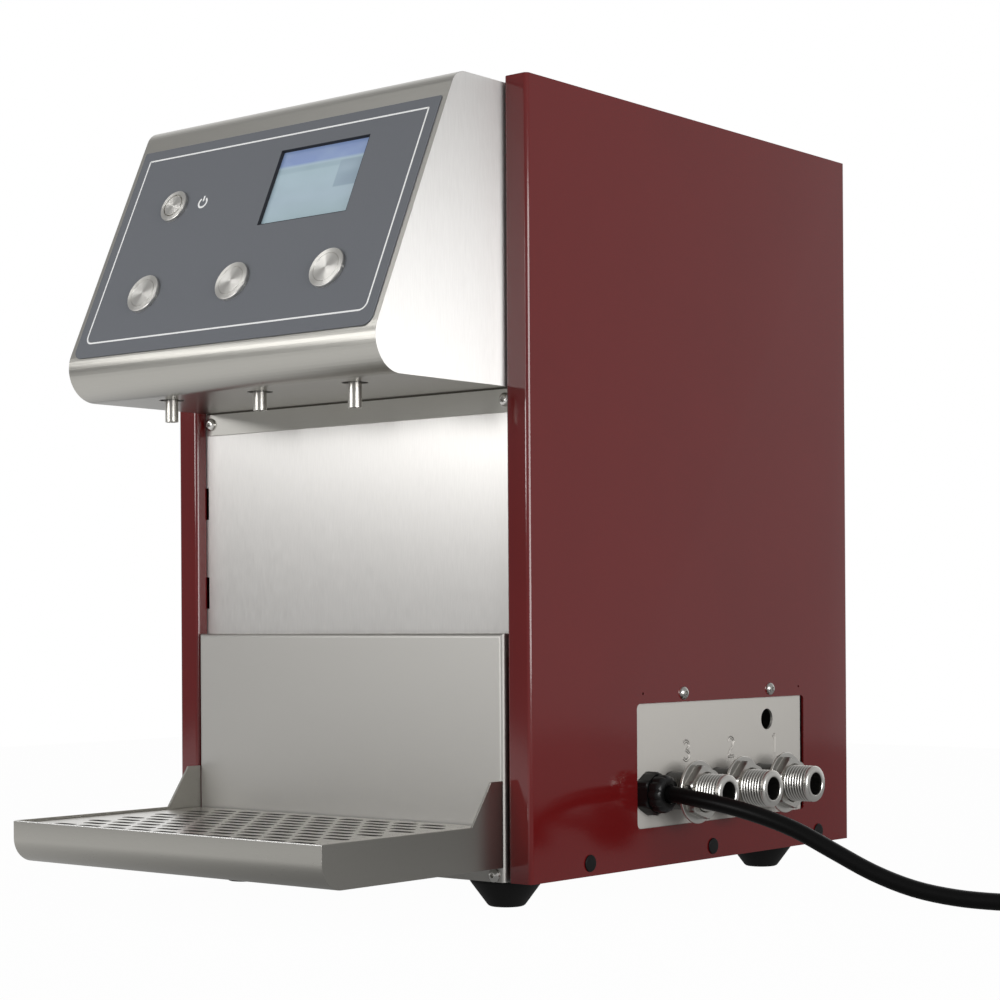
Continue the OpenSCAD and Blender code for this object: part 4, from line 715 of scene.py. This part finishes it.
# Supply unions: three half-inch stainless stubs with a cut pipe thread, each drawn tight by a hexagon nut
# on a wide washer, with a smooth end for sealing the hose. The thread's roots, the bore, the nuts' flats
# and the stretch behind the washer are painted darker as shade.
OUT_X = np.array([[0, 0, -1], [0, 1, 0], [1, 0, 0]])
INLET_Y, INLET_Z, BORE_R, UNION_SIDES = (217.5, 172.5, 127.5), 56.0, 6.5, 72
THREAD_R, THREAD_DEPTH, THREAD_FROM, THREAD_TO, THREAD_STEP = 10.475, 1.0, 131.0, 168.4, 0.2
RUN_OUT, RUN_OUT_AT = 1.5, 168.2
WASHER_IN, WASHER_R, WASHER_SIDES, HOLE_R = 148.3, 17.5, 96, 10.6
NUT_IN, NUT_OUT, NUT_FLAT, NUT_TURN, HEX_SIDES = 150.0, 155.0, 13.5, 12, 144
BEHIND_WASHER_LIT, ROOT_SHADE, BORE_LIT, FLATS_LIT = 0.1, 0.9, 0.3, 0.35


def paint_light_share(piece, share):
    """Keeps how lit each point is painted, from 0 in painted shade to 1 on bare steel, for the tone."""
    painted_lit = piece.data.attributes.new("painted_lit", "FLOAT", "POINT")
    painted_lit.data.foreach_set("value", np.clip(share, 0, 1).astype(np.float32))
    return piece


# Thread-cut steel: bright where it is painted lit, near black where shade is painted, with tool marks drawn
# 1.4 mm wide to show.
thread_steel, tree, shader, where = finish("stainless steel thread-cut with painted shade", Metallic=1.0)
painted_lit = add(tree, "ShaderNodeAttribute", attribute_name="painted_lit").outputs["Fac"]
tone = add(tree, "ShaderNodeMix", {"Factor": painted_lit}, data_type="RGBA")
tone.inputs[6].default_value, tone.inputs[7].default_value = linear("#45433f"), linear("#dedcd7")
tree.links.new(tone.outputs[2], shader.inputs["Base Color"])
grained(tree, shader, where, 700.0, (0.26, 0.34))

cut = np.arange(THREAD_FROM, THREAD_TO, THREAD_STEP)
depth = THREAD_DEPTH * np.clip(np.minimum(cut - THREAD_FROM, RUN_OUT_AT - cut) / RUN_OUT, 0, 1)
start = [(113.5, 4.1), (113.5, BORE_R), (121.5, BORE_R), (121.5, 12), (129.4, 12), (129.6, THREAD_R)]
end = [(168.5, THREAD_R), (169.2, 10.3), (169.7, 9.9), (170, 9.4), (170, 7.0), (169.7, 6.6), (168.5, BORE_R),
       (124.5, BORE_R), (124.5, 4.1)]
union = np.vstack([start, np.stack([cut, np.full(len(cut), THREAD_R)], 1), end])
depth = np.concatenate([np.zeros(len(start)), depth, np.zeros(len(end))])
points, faces = turned(union, UNION_SIDES, thread=depth)
radius = np.hypot(points[:, 0], points[:, 1])
# Painted shade: darker towards the thread's roots, near black behind the washer, and darker in the bore.
root_shade = ROOT_SHADE * (THREAD_R - radius) / THREAD_DEPTH * (np.repeat(depth, UNION_SIDES) > 0)
share = np.where(points[:, 2] < WASHER_IN, BEHIND_WASHER_LIT, 1 - root_shade)
share = np.where(radius < BORE_R + SLACK, BORE_LIT, share)
for i, y in enumerate(INLET_Y, 1):
    stub = piece_of(f"supply_union_{i}", *stood((points, faces), (0, y, INLET_Z), OUT_X), thread_steel)
    stands_for(paint_light_share(stub, share), f"inlet_fitting_{i}")

nut = turned([(NUT_IN, HOLE_R), (NUT_IN, 14.6), (150.7, 16), (154.3, 16), (NUT_OUT, 14.4), (NUT_OUT, 11.4),
              (154.4, HOLE_R)], HEX_SIDES, flat=NUT_FLAT, turn_by=NUT_TURN)
radius, out = np.hypot(nut[0][:, 0], nut[0][:, 1]), nut[0][:, 2]
# Painted shade: the nuts' flats are darker than the rest of the nut.
flats = (radius > NUT_FLAT - 2 * SLACK) & (out > NUT_IN + 0.5) & (out < NUT_OUT - 0.5)
share = np.tile(np.where(flats, FLATS_LIT, 1.0), len(INLET_Y))
nuts = together([stood(nut, (0, y, INLET_Z), OUT_X) for y in INLET_Y])
stands_for(paint_light_share(piece_of("union_nuts", *nuts, thread_steel), share), "inlet_nuts")

washer = turned([(WASHER_IN, HOLE_R), (WASHER_IN, 17.2), (148.6, WASHER_R), (149.7, WASHER_R), (NUT_IN, 17.2),
                 (NUT_IN, HOLE_R)], WASHER_SIDES)
washers = together([stood(washer, (0, y, INLET_Z), OUT_X) for y in INLET_Y])
share = np.ones(len(washers[0]))
stands_for(paint_light_share(piece_of("union_washers", *washers, thread_steel), share), "inlet_washers")


# Cable gland: black moulded nylon, a hexagon body held in the plate by a locknut from inside, and a
# ribbed dome nut that grips the lead. Its grain is drawn 0.8 mm wide to show.
GLAND_Y, GLAND_R, GLAND_FLAT, RIBS, RIB_DEPTH = 104.0, 4.8, 10.75, 12, 0.7
nylon, tree, shader, where = finish("black moulded nylon", Base_Color=linear("#0a0a0a"),
                                    Specular_IOR_Level=0.35)
grained(tree, shader, where, 1300.0, (0.24, 0.4), relief=(0.1, 0.0002), detail=3.0)
hexagon = turned([(122, GLAND_R), (122, 8), (131, 8), (131, 11), (131.7, 12), (138.2, 12), (139, 11.2),
                  (139, GLAND_R)], HEX_SIDES, flat=GLAND_FLAT)
dome = turned([(139, GLAND_R), (139, 9.6), (139.5, 10.5), (143.6, 10.5), (144.9, 10.1), (145.9, 9.1),
               (146.4, 7.8), (146.5, 5.6), (146.1, GLAND_R)], HEX_SIDES, ribs=RIBS, rib_depth=RIB_DEPTH)
for name, shape, node in (("gland_body", hexagon, "cable_gland"), ("gland_dome_nut", dome, "gland_nut")):
    stands_for(piece_of(name, *stood(shape, (0, GLAND_Y, INLET_Z), OUT_X), nylon), node)
eased("gland_locknut", nylon, 0.3)


# Inside: valves, heater block and its elements, tubes, board and supply, out of sight behind the panels,
# in the machined brass, sand-cast aluminium, lacquered board and moulded plastic they are made of.
brass, tree, shader, where = finish("machined brass", Metallic=1.0, Base_Color=linear("#b08d3c"))
grained(tree, shader, where, 400.0, (0.25, 0.4))
cast, tree, shader, where = finish("sand-cast aluminium", Metallic=1.0, Base_Color=linear("#b3b6ba"),
                                   Roughness=0.5)
grained(tree, shader, where, 600.0, relief=(0.3, 0.0004))
board, tree, shader, where = finish("green solder mask on glass fibre", Base_Color=linear("#1d4f2b"))
grained(tree, shader, where, 300.0, (0.3, 0.45))
cream, tree, shader, where = finish("cream moulded polyamide", Base_Color=linear("#d8d3c4"))
grained(tree, shader, where, 800.0, (0.4, 0.55))
INSIDE = {brass: ("solenoid_valve_1", "solenoid_valve_2", "solenoid_valve_3"), cast: ("heater_block",),
          board: ("control_board",), cream: ("terminal_block",),
          nylon: ("display_module", "safety_thermostat"),
          satin: ("valve_bracket", "heater_stand", "power_supply"),
          screw_steel: ("board_standoffs", "outlet_tubes", "heating_elements", "temperature_sensor",
                        "inlet_tubes")}
for material, nodes in INSIDE.items():
    for node in nodes:
        cad[node].data.materials.clear()
        cad[node].data.materials.append(material)
